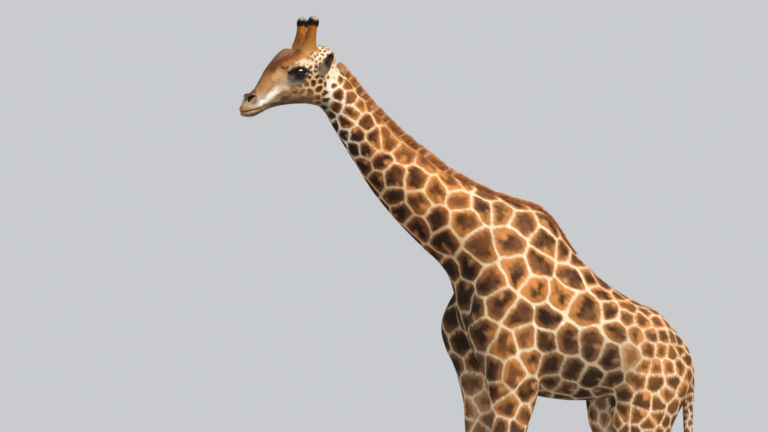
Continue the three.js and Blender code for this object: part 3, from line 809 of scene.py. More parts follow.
def shape_head(points, normals):
    """Bones, creases, lips and nostrils of the head."""
    place = to_head(points)
    s, u, w = place.T
    on_head = rise(head_side(points), -0.01, 0.03)
    push = np.zeros(len(points))
    for centre, radii, height in HEAD_FORMS:
        push += height * np.exp(-np.sum(((place - centre) / radii) ** 2, axis=1))
    facing = rise(np.abs(normals[:, 1]), 0.2, 0.6)
    for path, width, height in HEAD_LINES:
        push += height * stroke(place[:, :2], path, width) * facing
    wave, creased = wrinkles(points, 0.25)
    push += WRINKLES["height"] * wave * creased * facing
    push += 0.0012 * noise(points, 60, 7) * gauss(s, 0.21, 0.07) * rise(u, 0.12, 0.17)
    lip_gap, lip_at = path_distance(place[:, :2], LIP_LINE)
    lips = rise(w, -0.01, 0.0) * rise(1 - lip_at, -0.02, 0.06)
    push += lips * (0.002 * gauss(lip_gap, 0.012, 0.008) - 0.0065 * gauss(lip_gap, 0, 0.0036))
    nose_gap, nose_at = path_distance(place[:, :2], NOSTRIL)
    wide = nostril_half(nose_at)
    wing = 0.0026 * gauss(nose_gap, wide + 0.006, 0.006) * (1 - rise(u, 0.038, 0.054))
    hole = 0.017 * (1 - rise(nose_gap, wide * 0.5, wide + 0.0025))
    push += rise(w, 0.014, 0.026) * (wing - hole)
    return points + normals * (push * on_head)[:, None]


def shade_smooth(mesh):
    mesh.polygons.foreach_set("use_smooth", np.ones(len(mesh.polygons), bool))


def head_zone(centre, reach):
    """Picks the faces near [s, u, w] on either side of the head."""
    return lambda middles: np.linalg.norm(to_head(middles) - centre, axis=1) < reach


def join_ears():
    """Unites the ears with the skin and evens out the seam."""
    for side in SIDES.values():
        leaf = new_object("leaf", *ear(side))
        with_modifier(skin, "BOOLEAN", operation="UNION", solver="MANIFOLD", object=leaf)
        bpy.data.objects.remove(leaf)
    points = points_of(skin.data)
    roots = [frame_of("ear", side)[0] for side in SIDES.values()]
    near = [1 - rise(np.linalg.norm(points - root, axis=1), SEAM_REACH * 0.6, SEAM_REACH) for root in roots]
    relax(skin.data, np.maximum(*near), 8)


def reshape_skin(shape):
    """Moves the skin's points to where a function of the points and their normals puts them."""
    move_points(skin.data, shape(points_of(skin.data), normals_of(skin.data)))


def even_head(start, full, rounds, **settings):
    """Evens out the head, from not at all at start metres before its cut to fully at full metres."""
    relax(skin.data, rise(head_side(points_of(skin.data)), start, full), rounds, **settings)


skin = build_skin()
refine(skin.data, lambda middles: head_side(middles) > 0.0)
even_head(0.0, 0.02, 5, keep_size=True)
reshape_skin(shape_body)
reshape_skin(leg_relief)
eye_place = [EYE_CENTRE[0], EYE_CENTRE[1], 0.115]
for centre, reach in ((eye_place, 0.075), ((0.53, 0.03, 0.045), 0.055), ((0.55, -0.025, 0.03), 0.085)):
    refine(skin.data, head_zone(centre, reach))
refine(skin.data, head_zone(eye_place, 0.045))
even_head(0.02, 0.04, 2, keep_size=True)
reshape_skin(shape_head)
even_head(0.02, 0.04, 2, pace=0.4)
move_points(skin.data, shape_eyes(points_of(skin.data)))
join_ears()
shade_smooth(skin.data)

# ---- Where each bit of skin is and how its hair lies ---------------------------------------------------

BODY, HEAD_SKIN, FORE_L, FORE_R, HIND_L, HIND_R, TAIL_SKIN, HORN_L, HORN_R, EAR_L, EAR_R = range(11)
LEG_ZONES = dict(zip(LEGS, (FORE_L, FORE_R, HIND_L, HIND_R)))
HORNS_AND_EARS = (("left", LEFT, HORN_L, EAR_L), ("right", RIGHT, HORN_R, EAR_R))


def along_body(points):
    """Along, across and up from the middle line of neck and trunk, up also as a share of the half height,
    and the way to the tail."""
    rows = np.array(NECK + TRUNK, float) * MM
    middle, upward = (rows[:, 0:2] + rows[:, 2:4]) / 2, rows[:, 0:2] - rows[:, 2:4]
    at = run_of(middle)
    flat = points[:, [0, 2]]
    near, along = np.full(len(points), 9.0), np.zeros(len(points))
    for i in range(len(middle) - 1):
        step = middle[i + 1] - middle[i]
        t = (flat - middle[i]) @ step / (step @ step)
        held = np.clip(t, 0 if i else -1, 1 if i < len(middle) - 2 else 2)
        gap = np.linalg.norm(flat - middle[i] - held[:, None] * step, axis=1)
        along = np.where(gap < near, at[i] + held * (at[i + 1] - at[i]), along)
        near = np.minimum(near, gap)
    lift = along_line(at, upward, along)
    centre = along_line(at, middle, along)
    height = np.linalg.norm(lift, axis=1)
    up = np.sum((flat - centre) * lift, axis=1) / height
    tail_way = unit(along_line(at, np.gradient(middle, at, axis=0), along))
    return along, points[:, 1], up, 2 * up / height, tail_way


def near_limb(points, stations, side, step, reach):
    """Height down a leg or the tail, across and forwards of its middle, and the distance out as a share."""
    x, front, behind, half, middle_y = limb_at(points, stations, step, reach)
    forward = x - (front + behind) / 2
    across = points[:, 1] - middle_y * (-side)
    share = np.hypot(forward / np.maximum((behind - front) / 2, 0.01), across / np.maximum(half, 0.01))
    return -points[:, 2], across, forward, share


def survey(points, normals):
    """The zone of each point, its place along, across and up that zone, and the way its hair lies."""
    along, across, up, share_up, tail_way = along_body(points)
    place = np.stack([along, across, up], axis=1)
    zone = np.full(len(points), BODY)
    down = np.array([0.0, 0.0, -1.0])
    droop = 0.15 + 0.35 * rise(points[:, 0], -0.5, 0.2) * rise(np.abs(points[:, 1]), 0.05, 0.2)
    way = side_points(tail_way) + droop[:, None] * down
    limb = np.zeros(len(points))
    for x, reach in ((-0.30, 0.30), (0.62, 0.34)):
        limb = np.maximum(limb, 1 - rise(np.abs(points[:, 0] - x), reach * 0.6, reach))
    limb *= rise(-points[:, 2], -2.45, -1.95)
    way = way * (1 - limb[:, None]) + down * limb[:, None]
    for label, (stations, side, step, reach) in LEGS.items():
        leg_place = np.stack(near_limb(points, stations, side, step, reach), axis=1)
        mine = (points[:, 2] < 1.93) & (points[:, 1] * side > 0) & (leg_place[:, 3] < 1.7)
        zone[mine], place[mine], way[mine] = LEG_ZONES[label], leg_place[mine, :3], down
    tail_place = np.stack(near_limb(points, TAIL, LEFT, 0, 1), axis=1)
    mine = (tail_place[:, 3] < 1.6) & (points[:, 2] < 2.20) & (points[:, 0] > 0.86)
    zone[mine], place[mine], way[mine] = TAIL_SKIN, tail_place[mine, :3], down

    head = to_head(points)
    ahead = head_side(points)
    mine = ahead > 0
    zone[mine] = HEAD_SKIN
    place[mine] = np.stack([-head[:, 0], points[:, 1], head[:, 1]], axis=1)[mine]
    drop = 0.35 * rise(0.05 - head[:, 1], 0, 0.1)
    poll_way = np.array([-FACE_DOWN[0], 0, -FACE_DOWN[1]]) + drop[:, None] * down
    blend = rise(ahead, -0.06, 0.05)[:, None]
    way = way * (1 - blend) + poll_way * blend
    horn_and_ear = (("ossicone", HORN_L, 0.030, 0.075), ("ear", EAR_L, 0.012, 0.062))
    for side, (part, left_zone, start, wide) in itertools.product(SIDES.values(), horn_and_ear):
        _, length, axes = frame_of(part, side)
        spot = local(points, part, side)
        radius = np.hypot(spot[:, 0], spot[:, 1])
        mine = (spot[:, 2] > start) & (radius < wide) & (spot[:, 2] < length + 0.03)
        zone[mine] = left_zone + (side == RIGHT)
        place[mine] = spot[mine][:, [2, 0, 1]]
        blend = (rise(spot[:, 2], start - 0.03, start + 0.02) * (radius < wide))[:, None]
        way = way * (1 - blend) + axes[2] * blend
    way = way + 0.16 * noise_vectors(points, 9, 50)
    way -= normals * np.sum(way * normals, axis=1, keepdims=True)
    return zone, place, unit(way), share_up


# ---- Markings ------------------------------------------------------------------------------------------

# Colours as they look on a screen, 0 to 255.
CREAM = (250, 231, 196)
WHITE = (252, 245, 232)
RIM = (214, 142, 76)
CORE = (140, 84, 40)

# The distance between the middles of neighbouring patches, as [place, distance].
PATCH_SPACING = [
    [(-1.52, 0.10, 3.76), 0.052],
    [(-1.47, 0.10, 3.90), 0.032],
    [(-1.44, 0.05, 4.00), 0.032],
    [(-1.36, 0.07, 3.78), 0.078],
    [(-1.34, 0.07, 3.62), 0.090],
    [(-1.22, 0.08, 3.62), 0.100],
    [(-1.05, 0.10, 3.44), 0.126],
    [(-0.85, 0.11, 3.22), 0.148],
    [(-0.60, 0.14, 3.00), 0.175],
    [(-0.35, 0.18, 2.80), 0.185],
    [(-0.10, 0.20, 2.60), 0.185],
    [(-0.30, 0.24, 2.30), 0.165],
    [(0.20, 0.28, 2.35), 0.200],
    [(0.42, 0.28, 2.20), 0.165],
    [(0.30, 0.05, 2.66), 0.120],
    [(0.55, 0.12, 2.50), 0.100],
    [(0.66, 0.22, 2.30), 0.096],
    [(0.84, 0.14, 2.25), 0.084],
    [(0.62, 0.26, 2.02), 0.092],
    [(0.60, 0.22, 1.70), 0.086],
    [(0.68, 0.17, 1.30), 0.070],
    [(0.76, 0.17, 0.80), 0.052],
    [(-0.28, 0.24, 1.95), 0.140],
    [(-0.30, 0.20, 1.65), 0.110],
    [(-0.33, 0.18, 1.30), 0.085],
    [(-0.35, 0.17, 1.00), 0.062],
    [(-0.35, 0.17, 0.50), 0.045],
    [(0.95, 0.0, 1.80), 0.045],
]
LINE_SHARE = 0.043  # half the width of the pale line, as a share of the spacing
LINE_LEAST = 0.0050
CORNER = 0.034  # how round a patch's corners are, as a share of the spacing
NARROW = np.array([1.0, 1.35, 1.0])  # patches are drawn out along the back and the belly

RUBBED = [0.364, 2.257]  # x and z of the rubbed patch
# The white band behind the jaw, where the patches stand apart, in x and z.
WHITE_COLLAR = [(-1.40, 3.90), (-1.43, 3.84), (-1.44, 3.76), (-1.44, 3.68)]


def patch_spacing(points):
    """The distance between patches at each point, from the places that it is given for."""
    mirrored = points * [1, 0, 1] + np.abs(points) * [0, 1, 0]
    total, weights = np.zeros(len(points)), np.zeros(len(points))
    for place, spacing in PATCH_SPACING:
        weight = np.linalg.norm(mirrored - place, axis=1) ** -4.0
        total += weight * spacing
        weights += weight
    return total / weights


def tree_of(places):
    tree = kdtree.KDTree(len(places))
    for i, place in enumerate(places):
        tree.insert(place, i)
    tree.balance()
    return tree


def scatter_patches(points, spacing, seed=5):
    """The middles of the patches: well apart, then evened out a little."""
    rng = np.random.default_rng(seed)
    points = points * NARROW
    order = rng.permutation(len(points))[:60000]
    chosen = np.empty((0, 3))
    reach = np.empty(0)
    block = 500
    for start in range(0, len(order), block):
        pick = order[start : start + block]
        if len(chosen):
            gap = np.linalg.norm(points[pick][:, None] - chosen[None], axis=2)
            pick = pick[np.all(gap > 0.80 * np.minimum(spacing[pick][:, None], reach[None]), axis=1)]
        kept = []
        for i in pick:
            if all(np.linalg.norm(points[i] - points[j]) > 0.80 * min(spacing[i], spacing[j]) for j in kept):
                kept.append(i)
        chosen = np.concatenate([chosen, points[kept]])
        reach = np.concatenate([reach, spacing[kept]])
    for _ in range(2):
        tree = tree_of(chosen)
        nearest = np.array([tree.find(point)[1] for point in points[order[:40000]]])
        count = np.bincount(nearest, minlength=len(chosen))
        mean = [np.bincount(nearest, points[order[:40000], k], len(chosen)) for k in range(3)]
        mean = np.stack(mean, axis=1) / np.maximum(count, 1)[:, None]
        chosen = np.where((count > 0)[:, None], chosen + 0.35 * (mean - chosen), chosen)
    return chosen


def patch_edges(points, spacing, sites, neighbours=7):
    """The distance in from the border between patches, with rounded corners, and the patch's number."""
    warp = 0.020 * noise_vectors(points, 7.0, 60) + 0.006 * noise_vectors(points, 24, 70)
    warp *= np.clip(spacing / 0.15, 0.30, 1.2)[:, None]
    warp += 0.0045 * noise_vectors(points, 46, 71) * rise(0.11 - spacing, 0.0, 0.04)[:, None]
    bent = (points + warp) * NARROW
    tree = tree_of(sites)
    near = np.array([[i for _, i, _ in tree.find_n(point, neighbours)] for point in bent])
    gaps = np.linalg.norm(bent[:, None] - sites[near], axis=2)
    apart = np.linalg.norm(sites[near[:, 1:]] - sites[near[:, :1]], axis=2)
    edges = (gaps[:, 1:] ** 2 - gaps[:, :1] ** 2) / (2 * apart)
    soft = (CORNER * spacing)[:, None]
    edge = -soft[:, 0] * np.log(np.sum(np.exp(-edges / soft), axis=1))
    return edge, near[:, 0], bent


# The body is painted in washes. Each is how much of it there is at each point, and then its coats as
# (layer, strength, colour).


def trunk_washes(points):
    x = points[:, 0]
    smudged = rise(noise(points, 14, 116) + 0.4 * noise(points, 42, 117), -0.45, 0.50)
    return [
        (rise(x, -0.6, -0.2), ("core", 0.7, (132, 88, 54))),
        (smudged * (0.95 - 0.50 * rise(x, 0.25, 0.60)), ("core", 1, (66, 34, 12))),
    ]


def neck_washes(x, share_up, on_neck, on_body):
    # Painted light and shade: the cores grow lighter towards the crest, and ground, rims and cores grow
    # darker towards the throat.
    throat = rise(-share_up, -0.08, 0.66) * rise(-x, 0.30, 0.60) * on_body
    return [
        (on_neck, ("ground", 0.5, (246, 208, 150)), ("rim", 0.8, (216, 138, 62))),
        (on_neck * rise(share_up, 0.15, 0.85), ("core", 0.6, (158, 98, 50))),
        (throat, ("ground", 0.75, (200, 160, 116)), ("rim", 0.92, (104, 58, 26))),
        (throat, ("core", 0.97, (28, 16, 9))),
    ]


def shade_washes(points, normals):
    """Belly, breast and elbow lie in the shade and are darker."""
    x, _, z = points.T
    under = rise(-normals[:, 2], 0.05, 0.65) * rise(z, 1.6, 1.9) * rise(2.45 - z, 0, 0.2)
    chest = rise(-normals[:, 0], 0.2, 0.8) * rise(2.75 - z, 0.0, 0.2)
    chest *= rise(z, 1.9, 2.1) * rise(-x, 0.3, 0.45)
    flank = rise(2.44 - z, 0.0, 0.26) * rise(x, -0.24, -0.08) * rise(0.56 - x, 0.0, 0.20) * rise(z, 1.8, 1.9)
    belly = np.maximum(under, flank)
    elbow = gauss(x, -0.13, 0.10) * gauss(z, 2.42, 0.14)
    return [
        (np.maximum(belly, chest), ("rim", 0.85, (104, 76, 54)), ("core", 0.92, (52, 33, 20))),
        (belly, ("ground", 0.80, (196, 170, 134))),
        (elbow, ("rim", 0.85, (92, 52, 26)), ("core", 0.95, (30, 18, 12))),
    ]


def jaw_washes(points, share_up):
    """White behind the jaw, and the darker, fading patches of cheek and throat."""
    x, _, z = points.T
    upper_neck = rise(-x, 1.16, 1.38) * rise(0.55 - share_up, 0.0, 0.5) * rise(x, -1.50, -1.44)
    cheek = rise(-x, 1.43, 1.48) * rise(3.93 - z, 0.0, 0.06)
    faded = cheek * rise(noise(points, 11, 130), -0.2, 0.4)
    # Painted shade where the throat meets the jaw: ground, rims and cores all go near black there.
    latch = gauss(x, -1.455, 0.060) * gauss(z, 3.672, 0.060)
    return [
        (upper_neck, ("ground", 0.9, WHITE)),
        (cheek, ("ground", 0.85, (222, 182, 130)), ("rim", 0.85, (120, 70, 34)), ("core", 0.9, (60, 34, 18))),
        (faded, ("rim", 0.7, (176, 124, 78)), ("core", 0.85, (128, 84, 50))),
        (latch, ("ground", 0.92, (96, 64, 38)), ("rim", 1, (50, 28, 14)), ("core", 1, (22, 13, 8))),
    ]


def crest_washes(x, share_up, on_neck, on_body):
    crown = rise(share_up, 0.60, 0.84) * on_neck
    back_line = rise(share_up, 0.80, 0.98) * rise(x, -0.5, -0.3) * on_body
    return [
        (crown, ("ground", 0.85, (216, 152, 88))),
        (back_line, ("ground", 0.45, (205, 143, 82))),
        (crown + back_line, ("rim", 0.6, (176, 104, 52))),
    ]


def leg_washes(points, normals):
    x, y, z = points.T
    leg = rise(2.0 - z, 0.0, 0.5)
    pastern = rise(0.30 - z, 0.0, 0.14)
    inner = rise(-normals[:, 1] * np.sign(y), 0.3, 0.8) * rise(2.22 - z, 0.0, 0.30)
    return [
        (leg, ("ground", 0.8, (236, 218, 186))),
        (leg * (x < 0.15), ("rim", 0.8, (178, 128, 84)), ("core", 0.85, (128, 96, 72))),
        (leg, ("rim", 0.6, (170, 112, 66))),
        (rise(1.0 - z, 0.0, 0.6), ("rim", 0.6, (186, 146, 104)), ("core", 0.7, (150, 112, 80))),
        (pastern, *((name, 0.5, (150, 120, 92)) for name in ("ground", "rim", "core"))),
        (inner, ("ground", 0.4, WHITE), ("rim", 0.45, (214, 184, 144)), ("core", 0.45, (176, 140, 104))),
    ]


def paint_body(points, normals, zone, share_up):
    """The pale ground, the patches' bright rim and their darker core, before the face is painted."""
    on_body = zone == BODY
    on_neck = rise(-points[:, 0], 0.45, 0.75) * on_body
    washes = trunk_washes(points) + neck_washes(points[:, 0], share_up, on_neck, on_body)
    washes += shade_washes(points, normals) + jaw_washes(points, share_up)
    washes += crest_washes(points[:, 0], share_up, on_neck, on_body) + leg_washes(points, normals)
    bases = {"ground": CREAM, "rim": RIM, "core": CORE}
    layers = {name: np.tile(srgb(*levels), (len(points), 1)) for name, levels in bases.items()}
    for amount, *coats in washes:
        for name, strength, levels in coats:
            lay(layers[name], levels, strength * amount)
    return layers["ground"], layers["rim"], layers["core"]


# The face is painted in soft strokes in s and u, as [path, width, colour, strength].
FACE_STROKES = [
    # The bridge of the nose, with a darker edge.
    [[(0.33, 0.150), (0.40, 0.118), (0.46, 0.085), (0.50, 0.062)], 0.036, (158, 111, 74), 0.95],
    [[(0.41, 0.114), (0.45, 0.088), (0.50, 0.064), (0.53, 0.050)], 0.013, (98, 68, 46), 0.75],
    # The boss on the forehead, with its pale top.
    [[(0.10, 0.21), (0.20, 0.20), (0.28, 0.18), (0.35, 0.145)], 0.048, (130, 84, 52), 0.95],
    [[(0.14, 0.197), (0.21, 0.192), (0.26, 0.186)], 0.020, (168, 118, 84), 0.7],
    [[(0.265, 0.182), (0.32, 0.162)], 0.020, (124, 88, 66), 0.7],
    # The dark band from between the horns to the corner of the eye: painted shade in the valley before the
    # horns.
    [
        [(0.146, 0.160), (0.176, 0.146), (0.222, 0.147), (0.270, 0.148), (0.330, 0.128)],
        0.022, (104, 56, 22), 0.85,
    ],
    [[(0.250, 0.140), (0.272, 0.122), (0.274, 0.106)], 0.014, (128, 72, 30), 0.85],
    # Orange above the brow, and the paler skin round the horn.
    [[(0.120, 0.142), (0.155, 0.130), (0.207, 0.126), (0.246, 0.120)], 0.014, (178, 106, 36), 0.85],
    [[(0.104, 0.130), (0.070, 0.152), (0.024, 0.146)], 0.030, (220, 158, 92), 0.9],
    # Painted shade in the line between the horns.
    [[(0.118, 0.176), (0.144, 0.152)], 0.011, (122, 62, 14), 0.85],
    # The brow.
    [[(0.104, 0.070), (0.126, 0.086), (0.165, 0.094), (0.190, 0.098)], 0.020, (248, 226, 188), 0.95],
    [[(0.176, 0.094), (0.218, 0.101), (0.242, 0.099)], 0.015, (176, 124, 74), 0.85],
    # The cheek before the eye, creamy round its creases.
    [[(0.300, 0.060), (0.325, 0.082), (0.350, 0.074)], 0.022, (212, 166, 112), 0.9],
    [[(0.290, 0.034), (0.330, 0.040)], 0.014, (198, 160, 112), 0.8],
    [[(0.300, 0.000), (0.330, 0.016)], 0.014, (206, 178, 140), 0.8],
    # The tan patch before it.
    [[(0.395, 0.088), (0.412, 0.080)], 0.022, (178, 120, 66), 0.9],
    [[(0.361, 0.104), (0.368, 0.080), (0.366, 0.056)], 0.013, (184, 120, 60), 0.9],
    [[(0.352, 0.112), (0.362, 0.096)], 0.008, (140, 86, 44), 0.6],
    [[(0.372, 0.040), (0.410, 0.030)], 0.012, (170, 122, 74), 0.8],
    [[(0.430, 0.066), (0.450, 0.045)], 0.018, (168, 118, 74), 0.85],
    # Grey below the eye.
    [[(0.190, -0.004), (0.225, 0.004), (0.252, 0.022), (0.264, 0.040)], 0.025, (80, 77, 75), 0.97],
    [[(0.222, -0.012), (0.246, -0.012), (0.270, 0.002)], 0.017, (112, 106, 98), 0.85],
    [[(0.280, 0.040), (0.278, 0.014)], 0.006, (96, 84, 70), 0.7],
    # The jaw.
    [[(0.18, -0.135), (0.30, -0.100), (0.44, -0.082)], 0.034, (128, 98, 70), 0.9],
    [[(0.320, -0.060), (0.367, -0.070), (0.410, -0.062)], 0.016, (84, 58, 38), 0.85],
    [[(0.430, -0.050), (0.500, -0.046)], 0.018, (116, 96, 78), 0.85],
    [[(0.225, -0.128), (0.296, -0.102), (0.350, -0.092)], 0.018, (106, 78, 52), 0.8],
    [[(0.250, -0.052), (0.266, -0.040)], 0.012, (92, 58, 36), 0.85],
    [[(0.228, -0.084), (0.242, -0.072)], 0.012, (84, 54, 34), 0.8],
    [[(0.296, -0.046), (0.306, -0.062)], 0.009, (88, 66, 48), 0.7],
    # The white stripe from the lips to the cheek, with painted shade under it.
    [[(0.328, -0.026), (0.400, -0.030), (0.450, -0.034)], 0.011, (168, 144, 116), 0.8],
    [[(0.500, -0.022), (0.461, -0.017), (0.403, -0.002), (0.355, 0.004)], 0.023, (248, 238, 220), 1.0],
    [[(0.350, 0.006), (0.318, 0.000), (0.296, -0.010)], 0.015, (220, 200, 168), 0.85],
    # The muzzle, lips and chin.
    [[(0.446, 0.006), (0.481, 0.004), (0.512, -0.010)], 0.020, (176, 156, 138), 0.95],
    [[(0.484, 0.050), (0.506, 0.056), (0.531, 0.050), (0.56, 0.036)], 0.013, (88, 62, 46), 0.9],
    [[(0.490, 0.026), (0.502, 0.010), (0.526, 0.000)], 0.010, (112, 96, 82), 0.85],
    [[(0.560, 0.006), (0.530, -0.020), (0.510, -0.030)], 0.016, (188, 170, 148), 0.8],
    [[(0.553, 0.018), (0.566, 0.014), (0.578, 0.002)], 0.009, (198, 180, 150), 0.9],
    [[(0.586, -0.004), (0.602, -0.014)], 0.014, (172, 130, 84), 0.9],
    [[(0.614, -0.022), (0.604, -0.038)], 0.013, (134, 94, 56), 0.85],
    [[(0.500, -0.052), (0.55, -0.050), (0.60, -0.048)], 0.020, (160, 124, 84), 0.95],
    [[(0.545, -0.050), (0.566, -0.048)], 0.012, (194, 162, 120), 0.85],
    [[(0.610, -0.064), (0.550, -0.074), (0.490, -0.070)], 0.012, (84, 58, 34), 0.8],
    # A dark spot of painted shade in the groove at the tear duct, and dark spots round the eye.
    [[(0.256, 0.098), (0.278, 0.112)], 0.013, (46, 23, 8), 0.97],
    [[(0.266, 0.086), (0.278, 0.088)], 0.008, (152, 102, 58), 0.75],
    [
        [(0.146, 0.034), (0.163, 0.058), (0.190, 0.073), (0.225, 0.077), (0.252, 0.076)],
        0.010, (24, 17, 13), 0.95,
    ],
    [
        [(0.146, 0.026), (0.168, 0.013), (0.200, 0.011), (0.226, 0.028), (0.244, 0.054)],
        0.0105, (30, 22, 18), 0.95,
    ],
    [[(0.228, 0.052), (0.215, 0.032), (0.198, 0.018), (0.172, 0.014)], 0.012, (44, 35, 29), 0.95],
    [[(0.198, 0.064), (0.214, 0.058), (0.236, 0.066), (0.252, 0.072)], 0.013, (22, 16, 13), 1.0],
    # Behind the jaw and before the ear.
    [[(0.200, -0.068), (0.214, -0.052)], 0.010, (98, 66, 42), 0.75],
    # Painted shade where the throat meets the jaw.
    [[(0.150, -0.218), (0.165, -0.190)], 0.022, (28, 15, 9), 0.95],
    [[(0.168, -0.176), (0.190, -0.160)], 0.016, (92, 54, 24), 0.8],
    [[(0.062, 0.034), (0.056, 0.006), (0.062, -0.022)], 0.009, (78, 60, 42), 0.8],
    [[(0.072, -0.044), (0.066, -0.062)], 0.010, (132, 120, 100), 0.7],
]


def paint_face(points, normals, layers):
    """Paints the head on the layers. It gives back where the nostrils and the line of the lips are."""
    head = to_head(points)
    s, u, w = head.T
    wobble = [0.008 * noise(points, 24, seed) + 0.007 * noise(points, 80, seed + 2) for seed in (81, 82)]
    flat = head[:, :2] + np.stack(wobble, axis=1)
    ahead = rise(head_side(points), 0.0, 0.03)
    paint = np.tile(srgb(184, 138, 92), (len(points), 1))
    solid = np.maximum(rise(s, 0.20, 0.27), rise(u, 0.085, 0.11) * rise(s, 0.07, 0.12)) * ahead
    for path, width, levels, strength in FACE_STROKES:
        gap, _ = path_distance(flat, path)
        amount = strength * (1 - rise(gap, 0.32 * width, 1.28 * width)) * ahead
        lay(paint, levels, amount)
        solid = np.maximum(solid, amount)

    # Painted shade in the furrows of the creases before the eye, and a painted highlight on their ridges.
    wave, creased = wrinkles(points, -0.25)
    furrow = 0.5 + 0.5 * wave
    paint *= 1 - 0.34 * (furrow * creased)[:, None]
    lay(paint, CREAM, 0.30 * (1 - furrow) * creased)
    # Painted shade: the head is darker where it faces down.
    paint *= 1 - 0.30 * rise(-normals[:, 2], 0.1, 0.8)[:, None]

    along, up, reach, _ = eye_angles(head)
    share = lid_share(along, up)
    rims = (1 - rise(share, 1.42, 1.95)) * (reach < 0.058)
    corners = (1 - rise(share, 1.2, 1.9)) * rise(np.abs(along), 0.7, 1.0) * (1 - rise(reach, 0.045, 0.062))
    lids = np.maximum(rims, 0.85 * corners) * (w > 0.05)
    lay(paint, (18, 13, 11), lids)
    solid = np.maximum(solid, lids)

    # The nostrils near black and a dark line along the lips: dark skin there, with painted shade in the holes
    # and in the slit.
    nose_gap, nose_at = path_distance(head[:, :2], NOSTRIL)
    wide = nostril_half(nose_at)
    hole = (1 - rise(nose_gap, wide * 0.8, wide + 0.003)) * rise(w, 0.010, 0.020)
    lay(paint, (14, 9, 9), hole)
    lip_gap, lip_at = path_distance(head[:, :2], LIP_LINE)
    lip = gauss(lip_gap, 0, 0.0035) * rise(1 - lip_at, -0.02, 0.06)
    lay(paint, (40, 28, 22), 0.85 * lip)
    for layer in layers:
        cover(layer, paint, solid)
    return hole, lip


def on_leaf(points, side):
    """How surely each point is on the ear's leaf, and not on the head round its root."""
    spot = local(points, "ear", side)
    near = 1 - rise(np.linalg.norm(spot[:, :2], axis=1), 0.036, 0.046)
    return rise(spot[:, 2] / EAR["length"], 0.05, 0.18) * near


def cover_part(layers, mine, paint, amount):
    """Covers some of the points of every layer."""
    for layer in layers:
        part = layer[mine]
        cover(part, paint, amount)
        layer[mine] = part


def paint_horn(points, zone, place, layers, side, horn_zone):
    mine = np.nonzero(zone == horn_zone)[0]
    share = place[mine, 0] / frame_of("ossicone", side)[1] + 0.02 * noise(points[mine], 60, 90)
    streak = 0.5 + 0.5 * noise(points[mine] * [1, 1, 0.25], 120, 91)
    paint = np.tile(srgb(180, 110, 34), (len(mine), 1))
    lay(paint, (122, 66, 18), 0.8 * streak)
    lay(paint, (222, 162, 98), 0.75 * (1 - rise(share, 0.08, 0.42)))
    lay(paint, (34, 22, 16), 0.97 * rise(share, 0.74, 0.80))
    lay(paint, (192, 180, 172), rise(share + 0.03 * noise(points[mine], 30, 92), 0.875, 0.915))
    cover_part(layers, mine, paint, rise(share, -0.06, 0.10))


def paint_ear(points, normals, zone, place, layers, side, ear_zone):
    mine = np.nonzero(zone == ear_zone)[0]
    share = place[mine, 0] / EAR["length"]
    front = frame_of("ear", side)[2][1]
    paint = np.tile(srgb(206, 176, 140), (len(mine), 1))
    lay(paint, (150, 112, 76), rise(share, 0.3, 0.9))
    lay(paint, (138, 122, 100), 0.85 * (1 - rise(share, 0.20, 0.42)))
    # Painted shade in the hollow of the ear: near black on its forward side.
    dark = rise(normals[mine] @ front, -0.05, 0.25) * rise(share, 0.28, 0.50) * rise(0.96 - share, 0, 0.06)
    dark *= 1 - rise(np.abs(place[mine, 1]) / EAR["half"], 0.62, 0.92)
    lay(paint, (34, 26, 22), dark)
    cover_part(layers, mine, paint, on_leaf(points[mine], side))


def final_colours(ground, rim, core, edge, depth, points):
    """The colour of each point from its ground, rim and core, with hair-fine ragged borders."""
    ragged = edge + 0.0032 * noise(points, 240, 101) + 0.0034 * noise(points, 95, 102)
    inside = rise(ragged, -0.0030, 0.0036)
    deep = rise(depth + 0.30 * noise(points, 120, 104), 0.12, 0.88)
    patch = rim + (core - rim) * deep[:, None]
    return ground + (patch - ground) * inside[:, None]


# ---- Materials -----------------------------------------------------------------------------------------


